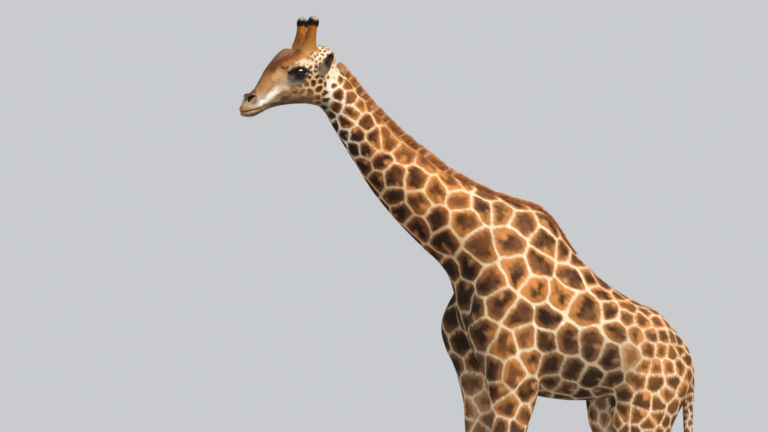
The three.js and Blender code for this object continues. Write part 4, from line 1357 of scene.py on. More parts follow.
class Nodes:
    """Builds a material's nodes. Wherever a value goes, a node's output or a plain number may be given."""

    def __init__(self, name, **settings):
        self.material = bpy.data.materials.new(name)
        self.material.use_nodes = True
        self.tree = self.material.node_tree
        self.shader = self.tree.nodes["Principled BSDF"]
        for key, value in settings.items():
            self.shader.inputs[key.replace("_", " ")].default_value = value

    def add(self, kind, inputs=None, **settings):
        node = self.tree.nodes.new(kind)
        for key, value in settings.items():
            setattr(node, key, value)
        for key, value in (inputs or {}).items():
            self.feed(node.inputs[key], value)
        return node

    def feed(self, socket, value):
        if hasattr(value, "is_output"):
            self.tree.links.new(value, socket)
        else:
            socket.default_value = value

    def attribute(self, name, output="Color"):
        return self.add("ShaderNodeAttribute", attribute_name=name).outputs[output]

    def math(self, operation, a, b=0.0, c=0.0):
        return self.add("ShaderNodeMath", {0: a, 1: b, 2: c}, operation=operation).outputs[0]

    def noise(self, place, scale, detail=2.0):
        inputs = {"Vector": place, "Scale": scale, "Detail": detail}
        return self.add("ShaderNodeTexNoise", inputs).outputs["Fac"]

    def stretch(self, place, factors):
        return self.add("ShaderNodeVectorMath", {0: place, 1: factors}, operation="MULTIPLY").outputs[0]

    def ramp(self, value, low, high, start=0.0, end=1.0):
        inputs = {"Value": value, 1: low, 2: high, 3: start, 4: end}
        return self.add("ShaderNodeMapRange", inputs, interpolation_type="SMOOTHSTEP").outputs[0]

    def mix(self, amount, a, b, blend="MIX"):
        node = self.add("ShaderNodeMix", data_type="RGBA", blend_type=blend)
        for socket, value in ((node.inputs[0], amount), (node.inputs[6], a), (node.inputs[7], b)):
            self.feed(socket, value)
        return node.outputs[2]

    def bump(self, height, strength, distance):
        node = self.add("ShaderNodeBump", {"Height": height, "Strength": strength, "Distance": distance})
        self.feed(self.shader.inputs["Normal"], node.outputs[0])

    def colour(self, value):
        self.feed(self.shader.inputs["Base Color"], value)


    def shaded(self, colour, amount):
        """The colour made darker or lighter by a number."""
        grey = self.add("ShaderNodeCombineColor", {0: amount, 1: amount, 2: amount}).outputs[0]
        return self.mix(1.0, colour, grey, "MULTIPLY")

    def place(self):
        return self.add("ShaderNodeTexCoord").outputs["Object"]


def plain(*levels):
    """One colour for a material's socket, given as it looks on a screen."""
    return (*(float(part) for part in srgb(*levels)), 1.0)


def fur_nodes(name, roughness, specular, sheen):
    return Nodes(
        name, Roughness=roughness, Specular_IOR_Level=specular, Sheen_Weight=sheen, Sheen_Roughness=0.4
    )


def skin_material():
    nodes = fur_nodes("coat_skin", 0.62, 0.18, 0.05)
    place = nodes.place()
    hair = nodes.noise(nodes.stretch(nodes.attribute("lie", "Vector"), (45.0, 520.0, 520.0)), 1.0)
    fine = nodes.math("MULTIPLY_ADD", nodes.noise(place, 240.0), 0.0064, -0.0032)
    wide = nodes.math("MULTIPLY_ADD", nodes.noise(place, 95.0), 0.0068, -0.0034)
    edge = nodes.math("ADD", nodes.math("ADD", nodes.attribute("edge", "Fac"), fine), wide)
    inside = nodes.ramp(edge, -0.0012, 0.0022)
    blotch = nodes.math("MULTIPLY_ADD", nodes.noise(place, 120.0, 3.0), 0.60, -0.30)
    deep = nodes.ramp(nodes.math("ADD", nodes.attribute("depth", "Fac"), blotch), 0.12, 0.88)
    patch = nodes.mix(deep, nodes.attribute("rim"), nodes.attribute("core"))
    painted = nodes.mix(inside, nodes.attribute("ground"), patch)
    nodes.colour(nodes.shaded(painted, nodes.ramp(hair, 0.3, 0.7, 0.86, 1.06)))
    nodes.bump(hair, 0.35, 0.0012)
    return nodes.material


def coat_material(name, roughness=0.62, sheen=0.05):
    nodes = fur_nodes(name, roughness, 0.20, sheen)
    grain = nodes.ramp(nodes.noise(nodes.place(), 700.0), 0.3, 0.7, 0.94, 1.05)
    nodes.colour(nodes.shaded(nodes.attribute("tint"), grain))
    return nodes.material


def claw_material():
    nodes = Nodes("claw", Roughness=0.42)
    place = nodes.place()
    growth = nodes.noise(nodes.stretch(place, (7.0, 7.0, 130.0)), 1.0, 2.0)
    wear = nodes.ramp(nodes.noise(place, 14.0, 5.0), 0.45, 0.75, 0.0, 0.55)
    base = nodes.mix(nodes.ramp(growth, 0.35, 0.65), plain(56, 46, 38), plain(72, 60, 49))
    nodes.colour(nodes.mix(wear, base, plain(106, 90, 74)))
    nodes.bump(growth, 0.5, 0.0010)
    return nodes.material


def eye_material():
    nodes = Nodes("eye", Roughness=0.06, Specular_IOR_Level=0.16, Coat_Weight=0.1, Coat_Roughness=0.03)
    fibre = nodes.ramp(nodes.noise(nodes.place(), 420.0, 3.0), 0.3, 0.7, 0.75, 1.25)
    nodes.colour(nodes.shaded(nodes.attribute("tint"), fibre))
    return nodes.material


def floor_material():
    nodes = Nodes("floor", Roughness=0.85)
    nodes.colour((0.62, 0.61, 0.59, 1.0))
    return nodes.material


def lash_material():
    nodes = Nodes("lash", Roughness=0.35)
    grain = nodes.ramp(nodes.noise(nodes.place(), 500.0), 0.3, 0.7)
    nodes.colour(nodes.mix(grain, plain(16, 12, 10), plain(34, 26, 20)))
    return nodes.material


# ---- Fast meshes from arrays ---------------------------------------------------------------------------


def mesh_from_arrays(name, points, triangles, material, tint, uv=None, normals=None):
    """One piece from arrays: points, triangles, and each point's colour, place on the map and normal."""
    mesh = bpy.data.meshes.new(name)
    mesh.vertices.add(len(points))
    mesh.vertices.foreach_set("co", points.astype(np.float32).ravel())
    mesh.loops.add(triangles.size)
    mesh.loops.foreach_set("vertex_index", triangles.astype(np.int32).ravel())
    mesh.polygons.add(len(triangles))
    mesh.polygons.foreach_set("loop_start", np.arange(len(triangles), dtype=np.int32) * 3)
    shade_smooth(mesh)
    mesh.update(calc_edges=True)
    store(mesh, "tint", tint)
    if uv is not None:
        layer = mesh.uv_layers.new(name="OFBake")
        layer.data.foreach_set("uv", uv[triangles.ravel()].astype(np.float32).ravel())
    if normals is not None:
        mesh.normals_split_custom_set_from_vertices(normals.astype(np.float32).tolist())
    mesh.materials.append(material)
    made = bpy.data.objects.new(name, mesh)
    bpy.context.scene.collection.objects.link(made)
    return made


def store(mesh, name, values):
    """Puts a number, the lie of the hair or a colour on each of the mesh's points."""
    kind, key = "FLOAT_COLOR", "color"
    if values.ndim == 1:
        kind, key = "FLOAT", "value"
    elif name == "lie":
        kind, key = "FLOAT_VECTOR", "vector"
    else:
        values = np.concatenate([values, np.ones((len(values), 1))], axis=1)
    mesh.attributes.new(name, kind, "POINT").data.foreach_set(key, values.astype(np.float32).ravel())


# ---- The coat ------------------------------------------------------------------------------------------

# For each kind of skin: tufts on a square metre, and a tuft's length, width and height.
TUFTS = {
    "body": (40000, 0.022, 0.0029, 0.0033),
    "leg": (40000, 0.019, 0.0026, 0.0026),
    "head": (105000, 0.0115, 0.0017, 0.0018),
    "tail": (50000, 0.022, 0.0026, 0.0030),
    "horn": (110000, 0.0150, 0.0018, 0.0020),
    "ear": (90000, 0.0160, 0.0018, 0.0018),
}
KIND_OF_ZONE = ["body", "head", "leg", "leg", "leg", "leg", "tail", "horn", "horn", "ear", "ear"]

# Each zone's room on the map, as [left, low, width, height]. It is a strip along and around the zone.
MAP_ROOM = [
    (0.01, 0.01, 0.97, 0.36),
    (0.01, 0.38, 0.40, 0.20),
    (0.01, 0.59, 0.48, 0.09),
    (0.01, 0.69, 0.48, 0.09),
    (0.50, 0.59, 0.48, 0.09),
    (0.50, 0.69, 0.48, 0.09),
    (0.01, 0.79, 0.30, 0.05),
    (0.43, 0.38, 0.12, 0.09),
    (0.43, 0.48, 0.12, 0.09),
    (0.57, 0.38, 0.12, 0.09),
    (0.57, 0.48, 0.12, 0.09),
]
# The first and the last place along each zone that its room holds.
ZONE_SPAN = [(-0.1, 3.7), (-0.66, 0.06), *[(-2.0, 0.0)] * 4, (-2.4, -1.2)]
ZONE_SPAN += [(0.0, 0.27)] * 2 + [(0.0, 0.21)] * 2
TUFT_PATCH = 0.0015


def unwrap(place, zone):
    """Each point's place on the map, from how far it is along its zone and which way round."""
    room = np.array(MAP_ROOM)[zone]
    span = np.array(ZONE_SPAN)[zone]
    share = np.clip((place[:, 0] - span[:, 0]) / (span[:, 1] - span[:, 0]), 0, 1)
    middle = np.where(zone == HEAD_SKIN, 0.02, 0.0)
    turn = np.arctan2(place[:, 1], place[:, 2] - middle) / (2 * math.pi) + 0.5
    return room[:, :2] + np.stack([share, turn], axis=1) * room[:, 2:]


def grow_coat(name, roots, way, normals, length, width, height, tint, uv, rng, material):
    """One piece of coat: a thin raised blade of three triangles for each tuft."""
    count = len(roots)
    way = unit(way + 0.16 * np.cross(normals, way) * rng.normal(0, 1, (count, 1)))
    side = np.cross(normals, way)
    length = (length * rng.uniform(0.72, 1.22, count))[:, None]
    width = (width * rng.uniform(0.75, 1.2, count))[:, None]
    height = (height * rng.uniform(0.5, 1.15, count))[:, None]
    sunk = -0.0006 * normals
    a = roots + side * width * 0.5 + sunk
    b = roots - side * width * 0.5 + sunk
    ridge = roots + way * length * 0.42 + normals * height * 0.62
    tip = roots + way * length + normals * height * rng.uniform(0.25, 1.0, (count, 1))
    points = np.stack([a, b, ridge, tip], axis=1).reshape(-1, 3)
    base = np.arange(count)[:, None, None] * 4
    triangles = (base + np.array([[0, 1, 2], [0, 2, 3], [1, 3, 2]])).reshape(-1, 3)
    tone = rng.uniform(0.90, 1.08, (count, 1))
    colours = np.stack([tint * tone * k for k in (0.90, 0.90, 1.0, 1.05)], axis=1).reshape(-1, 3)
    corners = np.array([[-1, -1], [1, -1], [0, 0.3], [0, 1]]) * TUFT_PATCH
    uv = (uv[:, None] + corners).reshape(-1, 2)
    leans = [normals + 0.22 * side, normals - 0.22 * side, normals, unit(normals + 0.15 * way)]
    leans = unit(np.stack(leans, axis=1)).reshape(-1, 3)
    return mesh_from_arrays(name, points, triangles, material, colours, uv, leans)


# ---- Strands: mane, tail tuft, lashes and fringes ------------------------------------------------------


def strands(name, roots, lines, widths, tint, material, rng, uv=None, tips=1.25):
    """Flat tapering locks. lines holds each lock's offsets from its root, [lock, step, xyz]. tips says how
    light their ends are."""
    count, steps = lines.shape[:2]
    centre = roots[:, None] + lines
    along = unit(np.gradient(lines, axis=1))
    around = unit(rng.normal(0, 1, (count, 1, 3)))
    side = unit(np.cross(along, np.broadcast_to(around, along.shape)))
    share = np.linspace(0, 1, steps)
    taper = (np.sqrt(1 - share**2) * 0.92 + 0.08)[None, :, None] * widths[:, None, None] * 0.5
    lift = np.cross(side, along) * taper * 0.5
    points = np.stack([centre - side * taper, centre + lift, centre + side * taper], axis=2).reshape(-1, 3)
    base = np.arange(count)[:, None, None] * steps * 3
    cell = []
    for k in range(steps - 1):
        for a in (0, 1):
            p, q = k * 3 + a, (k + 1) * 3 + a
            cell += [[p, p + 1, q + 1], [p, q + 1, q]]
    triangles = (base + np.array(cell)).reshape(-1, 3)
    # Painted shade: each lock is darker at its root.
    shade = np.interp(share, [0, 0.5, 1], [0.72, 1.0, tips])
    colours = (tint[:, None, None] * shade[None, :, None, None] * np.ones((1, 1, 3, 1))).reshape(-1, 3)
    if uv is not None:
        uv = np.repeat(uv, steps * 3, axis=0) + TUFT_PATCH * rng.uniform(-1, 1, (len(points), 2))
    return mesh_from_arrays(name, points, triangles, material, colours, uv)


# ---- Marking the skin ----------------------------------------------------------------------------------


def patch_seams(from_site):
    """Which points are on a patch that a paler seam splits, how far from the seam they are, and how much of
    it there is beside them: it runs in from the border to the middle."""
    facing = np.stack([np.bincount(patch, normals[:, k], len(sites)) for k in range(3)], axis=1)
    site_normal = unit(facing + 1e-9)
    seam_way = unit(np.cross(site_normal, rng.normal(0, 1, (len(sites), 3))))
    seam_side = np.cross(site_normal, seam_way)
    seamed = (rng.random(len(sites)) < 0.5)[patch] & (spacing > 0.09)
    off = np.abs(np.sum(from_site * seam_side[patch], axis=1) + 0.012 * noise(points, 16, 112))
    there = rise(np.sum(from_site * seam_way[patch], axis=1), -0.10 * spacing, 0.34 * spacing)
    return seamed, off, there


def core_depth(from_site, seamed, seam_off, seam_there):
    """How deep into its dark core each point is: ragged, in rays from the patch's middle."""
    size = np.clip(spacing / 0.17, 0.25, 1.1)
    rays = noise(unit(from_site) + sites[patch] * 7.0, 3.4, 113)
    inward = np.where(seamed, np.minimum(border, seam_off + 0.05 * (1 - seam_there)), border)
    deep = inward / size + 0.012 * rays + 0.014 * noise(points, 17, 114) + 0.008 * noise(points, 45, 115)
    return (deep + rng.uniform(-0.008, 0.008, len(sites))[patch] - 0.008) / 0.042


def vary_patches(rim, core):
    """Makes some patches lighter or darker than others, and more red or more yellow."""
    tone = rng.uniform(0.86, 1.12, len(sites))[patch][:, None]
    hue = rng.uniform(-0.5, 0.5, len(sites))[patch][:, None] * [0.06, 0.0, -0.06]
    return rim * tone * (1 + hue), core * tone


def rub_patch(rim, core):
    """Rubs the patch before the left thigh pale."""
    away = np.linalg.norm(points[:, [0, 2]] - RUBBED, axis=1) + (points[:, 1] > 0)
    rubbed = (patch == patch[np.argmin(away)]) * (0.80 - 0.40 * rise(noise(points, 18, 118), -0.4, 0.6))
    lay(rim, (218, 170, 122), rubbed)
    lay(core, (176, 118, 76), rubbed)


def bare_skin(hole, lip):
    """Where no hair grows: in the eyes' opening, the nostrils, the lips' line, the ears and the feet."""
    lids_along, lids_up, reach, out = eye_angles(to_head(points))
    bare = (lid_share(lids_along, lids_up) < 1.22) & (reach < 0.06) & (out > 0)
    bare |= (hole > 0.3) | (lip > 0.6) | (points[:, 2] < HOOF_HIGH)
    for _, side, _, ear_zone in HORNS_AND_EARS:
        front = frame_of("ear", side)[2][1]
        bare |= (zone == ear_zone) & (normals @ front > 0.3) & (on_leaf(points, side) > 0.5)
    return bare


points, normals = points_of(skin.data), normals_of(skin.data)
zone, place, way, share_up = survey(points, normals)
spacing = patch_spacing(points)
sites = scatter_patches(points, spacing)
border, patch, bent = patch_edges(points, spacing, sites)
half_line = np.maximum(LINE_LEAST, LINE_SHARE * spacing) * (1 + 0.22 * noise(points, 9, 110))
collar_gap, _ = path_distance(points[:, [0, 2]], WHITE_COLLAR)
half_line += 0.011 * (1 - rise(collar_gap, 0.006, 0.034)) * (0.45 + 0.55 * rise(points[:, 2], 3.68, 3.82))
edge = border - half_line

rng = np.random.default_rng(11)
seamed, seam_off, seam_there = patch_seams(bent - sites[patch])
depth = core_depth(bent - sites[patch], seamed, seam_off, seam_there)
ground, rim, core = paint_body(points, normals, zone, share_up)
rim, core = vary_patches(rim, core)
lay(rim, (226, 164, 104), np.where(seamed, 0.55 * gauss(seam_off, 0, 0.008) * seam_there, 0))
rub_patch(rim, core)
hole, lip = paint_face(points, normals, (ground, rim, core))
for _, side, horn_zone, ear_zone in HORNS_AND_EARS:
    paint_horn(points, zone, place, (ground, rim, core), side, horn_zone)
    paint_ear(points, normals, zone, place, (ground, rim, core), side, ear_zone)
stored = {"edge": edge, "depth": depth, "lie": place, "ground": ground, "rim": rim, "core": core}
for name, values in stored.items():
    store(skin.data, name, values)
skin.data.materials.clear()
skin.data.materials.append(skin_material())

# ---- Growing the coat ----------------------------------------------------------------------------------

PIECE_TUFTS = 62000
COAT_SHARE = 1.0


def sow(density, bare):
    """Random roots over the skin: their face, and their share of each of its corners."""
    mesh = skin.data
    mesh.calc_loop_triangles()
    corners = get(mesh.loop_triangles, "vertices", 3, np.int32)
    a, b, c = (points[corners[:, k]] for k in range(3))
    area = np.linalg.norm(np.cross(b - a, c - a), axis=1) / 2
    wanted = area * density[corners[:, 0]] * ~bare[corners].any(axis=1)
    number = np.floor(wanted + rng.random(len(wanted))).astype(int)
    face = np.repeat(np.arange(len(corners)), number)
    u, v = rng.random((2, len(face)))
    flip = u + v > 1
    u, v = np.where(flip, 1 - u, u), np.where(flip, 1 - v, v)
    return corners[face], np.stack([1 - u - v, u, v], axis=1)


def spread(values, corners, shares):
    """The values at the roots, from those at the corners of their faces."""
    shares = shares if values.ndim == 1 else shares[:, :, None]
    return np.sum(values[corners] * shares, axis=1)


def tuft_lengths(roots, root_zone, longest, muzzle):
    """The lengths of the tufts: shortest on the muzzle, longer towards the poll, shorter on the neck."""
    near_neck = 1 + 0.25 * rise(0.12 - to_head(roots)[:, 0], 0.0, 0.14) * (root_zone == HEAD_SKIN)
    on_neck = (root_zone == BODY) * rise(-roots[:, 0], 0.4, 1.3)
    return longest * (1 - 0.60 * muzzle) * near_neck * (1 - 0.28 * on_neck)


def grow_whole_coat():
    """The coat as pieces that each lie in one stretch of skin."""
    look = coat_material("coat_hair")
    tuft_sizes = np.array([TUFTS[kind] for kind in KIND_OF_ZONE])
    corners, shares = sow(tuft_sizes[zone, 0] * COAT_SHARE, bare_skin(hole, lip))
    roots = spread(points, corners, shares)
    root_zone = zone[corners[:, 0]]
    root_normals = unit(spread(normals, corners, shares))
    root_way = spread(way, corners, shares)
    root_way = unit(root_way - root_normals * np.sum(root_way * root_normals, axis=1, keepdims=True))
    painted = (spread(layer, corners, shares) for layer in (ground, rim, core, edge, depth))
    tint = final_colours(*painted, roots)
    uv = unwrap(spread(place, corners, shares), root_zone)
    _, longest, widths, heights = tuft_sizes[root_zone].T
    muzzle = rise(to_head(roots)[:, 0], 0.30, 0.52) * (root_zone == HEAD_SKIN)
    lengths = tuft_lengths(roots, root_zone, longest, muzzle)
    heights = heights * (1 - 0.45 * muzzle)
    order = np.lexsort((roots[:, 2], root_zone))
    parts = (roots, root_way, root_normals, lengths, widths, heights, tint, uv)
    pieces = []
    for start in range(0, len(order), PIECE_TUFTS):
        picked = (values[order[start : start + PIECE_TUFTS]] for values in parts)
        pieces.append(grow_coat(f"coat_{len(pieces) + 1:02d}", *picked, rng, look))
    return pieces


coat_pieces = grow_whole_coat()

# ---- Mane ----------------------------------------------------------------------------------------------

MANE_LOCKS = 7500
MANE_HALF = 0.012  # half the width of the strip that it grows on
MANE_HIGH = 0.046
MANE_SUNK = 0.016  # how deep its roots are under the crest


def mane_over_lines(spot, offset, at, line):
    """How pale each lock is: over the pale lines between the patches on its own side of the crest."""
    beside = (zone == BODY) & (np.abs(points[:, 1]) < 0.045) & (normals[:, 2] > 0.2) & (points[:, 2] > 2.4)
    stops = np.linspace(0, at[-1], 500)
    stop_at = along_line(at, line, stops)
    pale_hair = np.zeros(len(spot))
    for side in SIDES.values():
        flank = beside & (points[:, 1] * side > 0.012)
        away = np.linalg.norm(points[flank][None, :, [0, 2]] - stop_at[:, None], axis=2)
        pale = rise(-edge[flank][np.argmin(away, axis=1)], -0.004, 0.006)
        pale_hair = np.where(offset * side > 0, np.interp(spot, stops, pale), pale_hair)
    return pale_hair


def grow_mane():
    """A stiff brush of locks along the crest of the neck, leaning back and lower at its sides."""
    rows = smooth_rows(NECK, 12)
    rows = rows[(rows[:, 0] > -1.372) & (rows[:, 0] < -0.10)]
    line, upward = rows[:, 0:2], unit(rows[:, 0:2] - rows[:, 2:4])
    at = run_of(line)
    spot = rng.random(MANE_LOCKS) * at[-1]
    share = spot / at[-1]
    lift = unit(along_line(at, upward, spot))
    run = unit(along_line(at, np.gradient(line, at, axis=0), spot))
    offset = np.clip(rng.normal(0, 0.55, MANE_LOCKS), -1, 1) * MANE_HALF
    high = MANE_HIGH * np.interp(share, [0, 0.04, 0.55, 0.80, 1], [0.75, 1.0, 1.0, 0.62, 0.02])
    high *= rng.uniform(0.80, 1.10, MANE_LOCKS) * (1 + 0.10 * noise(spot[:, None] * [1, 1, 1], 24, 120))
    outer_lock = rise(np.abs(offset) / MANE_HALF, 0.45, 0.75)
    high *= 1 - 0.34 * outer_lock
    steps = np.linspace(0, 1, 4)[None, :, None]
    lean = rng.normal(0.42, 0.12, (MANE_LOCKS, 1, 1))
    splay = (offset / MANE_HALF * 0.16 + rng.normal(0, 0.07, MANE_LOCKS))[:, None, None]
    lines = (high + MANE_SUNK)[:, None, None] * (
        side_points(lift)[:, None] * steps
        + side_points(run)[:, None] * lean * steps**1.8
        + np.array([0, 1.0, 0]) * splay * steps**1.5
    )
    band = noise(spot[:, None] * [1, 0, 0], 11, 121) + 0.4 * rng.normal(0, 1, MANE_LOCKS)
    tint = np.tile(srgb(226, 150, 88), (MANE_LOCKS, 1))
    lay(tint, (142, 80, 40), rise(band, 0.1, 1.1))
    # Painted shade along the sides of the mane: the outer locks are darker.
    lay(tint, (122, 68, 32), 0.60 * outer_lock)
    lay(tint, (250, 206, 150), 0.75 * mane_over_lines(spot, offset, at, line))
    lay(tint, (190, 112, 72), 0.6 * rise(0.05 - share, 0.0, 0.05))
    roots = side_points(along_line(at, line, spot) - lift * MANE_SUNK, offset)
    uv = np.stack([0.33 + 0.6 * share, 0.86 + offset], axis=1)
    widths = rng.uniform(0.0035, 0.0065, MANE_LOCKS)
    return strands("mane_hair", roots, lines, widths, tint, coat_material("mane_hair"), rng, uv, tips=0.78)


mane = grow_mane()

# ---- Tail tuft -----------------------------------------------------------------------------------------

TAIL_LOCKS = 2200


def grow_tail_tuft():
    """Long black locks that hang from round the end of the tail."""
    root_z = 1.36 - 0.22 * rng.random(TAIL_LOCKS) ** 1.6
    angle = rng.random(TAIL_LOCKS) * 2 * math.pi
    ring = np.stack([np.cos(angle), np.sin(angle)], axis=1)
    roots = np.stack([0.950 + 0.014 * ring[:, 0], 0.013 * ring[:, 1], root_z], axis=1)
    drop = root_z - rng.uniform(0.655, 0.92, TAIL_LOCKS)
    bulge = rng.uniform(0.2, 1.0, TAIL_LOCKS) * 0.030
    steps = np.linspace(0, 1, 8)
    swell = np.sin(np.pi * steps**0.9) - 0.35 * steps**2
    wave = 0.004 * np.sin(steps * rng.uniform(4, 9, (TAIL_LOCKS, 1)) + rng.uniform(0, 6, (TAIL_LOCKS, 1)))
    out = bulge[:, None] * swell
    lines = np.stack([ring[:, :1] * out + wave, ring[:, 1:] * out - wave, -drop[:, None] * steps], axis=2)
    tint = srgb(28, 22, 20) * rng.uniform(0.7, 1.6, (TAIL_LOCKS, 1))
    uv = np.stack([0.01 + 0.3 * rng.random(TAIL_LOCKS), 0.90 + 0.05 * rng.random(TAIL_LOCKS)], axis=1)
    widths = rng.uniform(0.002, 0.0038, TAIL_LOCKS)
    look = coat_material("tail_hair", 0.42, 0.0)
    return strands("tail_hair", roots, lines, widths, tint, look, rng, uv, tips=1.3)


tuft = grow_tail_tuft()

# ---- Eyes and lashes -----------------------------------------------------------------------------------

# For the upper and the lower lid: which way it is up, how many lashes it has, and how long they get.
LID_LASHES = ((1, 90, 0.030), (-1, 40, 0.010))

lash_look = lash_material()
eye_look = eye_material()
small_pieces = []


def dress(thing, look):
    """Shades a piece smoothly and gives it its material."""
    shade_smooth(thing.data)
    thing.data.materials.append(look)


def add_eyeball(label, side):
    """A dark glossy ball with a wide pupil."""
    ball_points, ball_faces = ellipsoid(from_head(EYE_CENTRE, side), np.full(3, EYE_RADIUS), around=64)
    ball = new_object("eyeball_" + label, ball_points, ball_faces)
    along, up, _, _ = eye_angles(to_head(ball_points))
    iris = np.sqrt(along**2 + (up * 1.12) ** 2)
    pupil = np.sqrt((along / 0.42) ** 2 + (up / 0.24) ** 2)
    tint = np.tile(srgb(20, 11, 7), (len(ball_points), 1))
    lay(tint, (7, 5, 4), rise(iris, 0.30, 0.66))
    lay(tint, (12, 9, 8), rise(iris, 0.84, 0.94))
    lay(tint, (2, 2, 2), 1 - rise(pupil, 0.85, 1.1))
    store(ball.data, "tint", tint)
    dress(ball, eye_look)
    small_pieces.append((ball, "eye_" + label, "eye"))


def add_lashes(label, side):
    """Lashes that fan out from both lids, the upper ones longer."""
    along, up, length, curl = [], [], [], []
    for upper, number, longest in LID_LASHES:
        a = np.linspace(-0.92, 0.92, number) * LID_LONG
        high = (LID_HIGH if upper > 0 else -LID_LOW) * lid_narrowing(a)
        along.append(a + rng.normal(0, 0.015, number))
        up.append(high * np.sqrt(1 - (a / LID_LONG) ** 2) + upper * 0.04)
        length.append(longest * rng.uniform(0.7, 1.1, number) * (1 - 0.35 * np.abs(a / LID_LONG) ** 3))
        curl.append(np.full(number, upper))
    along, up, length, curl = (np.concatenate(parts) for parts in (along, up, length, curl))
    ray = unit(np.stack([np.tan(along), np.tan(up), np.ones(len(along))], axis=1))
    c, s = math.cos(EYE_SLANT), math.sin(EYE_SLANT)
    ray[:, :2] = ray[:, :2] @ np.array([[c, -s], [s, c]])
    start = EYE_CENTRE + ray * (EYE_RADIUS + 0.003)
    t = np.linspace(0, 1, 6)[None, :, None]
    bow = np.array([0.10, -0.25, 0.0]) * t + np.array([0.0, 0.9, 0.0]) * 0.45 * t**2
    fan = np.sin(along)[:, None, None] * np.array([0.55, 0.0, 0.0])
    lines = length[:, None, None] * (ray[:, None] * t * 0.85 + fan * t + curl[:, None, None] * bow)
    base = from_head(start, side)
    bend = from_head(start[:, None] + lines, side) - base[:, None]
    tint = np.tile(srgb(16, 12, 10), (len(along), 1))
    lashes = strands("lashes_" + label, base, bend, np.full(len(along), 0.0011), tint, lash_look, rng)
    small_pieces.append((lashes, "eye_" + label, "tuft"))


for label, side in SIDES.items():
    add_eyeball(label, side)
    add_lashes(label, side)

# ---- Fringes of horns and ears, withers and whiskers ---------------------------------------------------

FRINGE_SHARE = 1.0
hair_look = coat_material("long_hair")


def fringe(name, pick, number, length, lift, levels, splay=0.25, width=0.0016, onward=1.0, look=hair_look):
    """Longer hairs that stand off a chosen bit of skin."""
    chosen = rng.choice(np.nonzero(pick)[0], number)
    root = points[chosen] + way[chosen] * rng.normal(0, 0.001, (number, 1))
    t = np.linspace(0, 1, 4)[None, :, None]
    out = unit(normals[chosen] + splay * rng.normal(0, 1, (number, 3)))
    forward = way[chosen][:, None] * t * onward
    drop = np.array([0, 0, 0.25]) * t**2 * lift
    lines = forward + out[:, None] * lift * np.sqrt(t) - drop
    lines *= length * rng.uniform(0.6, 1.1, (number, 1, 1))
    widths, tint = np.full(number, width), np.tile(srgb(*levels), (number, 1))
    made = strands(name, root, lines, widths, tint, look, rng, unwrap(place[chosen], zone[chosen]))
    small_pieces.append((made, None, "coat"))


def fringe_horn_and_ear(label, side, horn_zone, ear_zone):
    share = place[:, 0] / frame_of("ossicone", side)[1]
    knob = (zone == horn_zone) & (share > 0.745) & (share < 0.86)
    fringe("fringe_" + label, knob, int(1500 * FRINGE_SHARE), 0.012, 0.34, (30, 21, 16))
    facing = normals @ frame_of("ear", side)[2][1]
    share = place[:, 0] / EAR["length"]
    leaf = (zone == ear_zone) & (on_leaf(points, side) > 0.5) & (share > 0.1)
    inside = leaf & (facing > 0.1) & (share < 0.75)
    fringe("ear_hair_" + label, inside, int(380 * FRINGE_SHARE), 0.022, 0.36, (166, 152, 132), 0.5, 0.0009)
    brim = leaf & (np.abs(facing) < 0.4)
    fringe("ear_rim_" + label, brim, int(500 * FRINGE_SHARE), 0.009, 0.25, (196, 168, 130), 0.4, 0.0010)


def fringe_withers():
    """The last of the mane, which runs out over the withers."""
    ridge = (zone == BODY) & (np.abs(points[:, 1]) < 0.015) & (normals[:, 2] > 0.3) & (points[:, 2] > 2.5)
    for name, front, behind, length, levels in (
        ("withers_front", -0.34, -0.05, 0.050, (206, 134, 76)),
        ("withers_back", -0.12, 0.18, 0.038, (186, 114, 58)),
    ):
        stretch = ridge & (points[:, 0] > front) & (points[:, 0] < behind)
        fringe(name, stretch, int(1400 * FRINGE_SHARE), length, 0.85, levels, 0.12, 0.0026, onward=0.6)


for label, side, horn_zone, ear_zone in HORNS_AND_EARS:
    fringe_horn_and_ear(label, side, horn_zone, ear_zone)
fringe_withers()
down_face, above_jaw, _ = to_head(points).T
chin = (down_face > 0.47) & (above_jaw < -0.035) & (zone == HEAD_SKIN)
fringe("whiskers", chin, 70, 0.013, 1.0, (60, 44, 32), 0.3, 0.0006, onward=0.3, look=lash_look)

# ---- Claws ---------------------------------------------------------------------------------------------


def claw(stations, side, step, reach, outer):
    """One of a hoof's two claws, from under the coronet down to its flat sole."""
    fx, fz, bx, bz, _, y, _ = stations[-1]
    grow, heel, half, apart, top_half, top_apart, bevel = HOOF.values()
    middle_half = (half + top_half) / 2 + 1
    rows = [
        [fx + 8, fz + 14, bx - 8, bz + 8, top_half - 6, y - outer * top_apart, 2.4],
        [fx, fz - 3, bx, bz - 3, top_half, y - outer * top_apart, 2.5],
        [fx - grow * 0.5, fz * 0.5, bx + heel * 0.5, bz * 0.5, middle_half, y - outer * 40, 2.6],
        [fx - grow, bevel, bx + heel, bevel, half, y - outer * apart, 2.7],
        [fx - grow + 4, 0, bx + heel - 4, 0, half - 3, y - outer * apart, 2.7],
    ]
    sections = limb_sections(rows, side, 0.0, step, reach, around=44, steps=7)
    sections[..., 2] = np.maximum(sections[..., 2], 0)
    return loft(sections)


claw_look = claw_material()
for leg, (stations, side, step, reach) in LEGS.items():
    for edge_name, outer in (("outer", 1), ("inner", -1)):
        node = f"{leg}_{edge_name}_claw"
        piece = new_object("horn_" + node, *claw(stations, side, step, reach, outer))
        dress(piece, claw_look)
        small_pieces.append((piece, node, "horn"))

# ---- Studio --------------------------------------------------------------------------------------------

CAMERA_TURN = math.radians(-22)  # the camera's azimuth
CAMERA_HEIGHT = 2.2
CAMERA_REACH = 45.0
VIEW_WIDE = 4.65455  # metres seen across at the animal's middle plane
AIM_ACROSS, AIM_HIGH = -0.97576, 3.04394
SENSOR_WIDE = 36

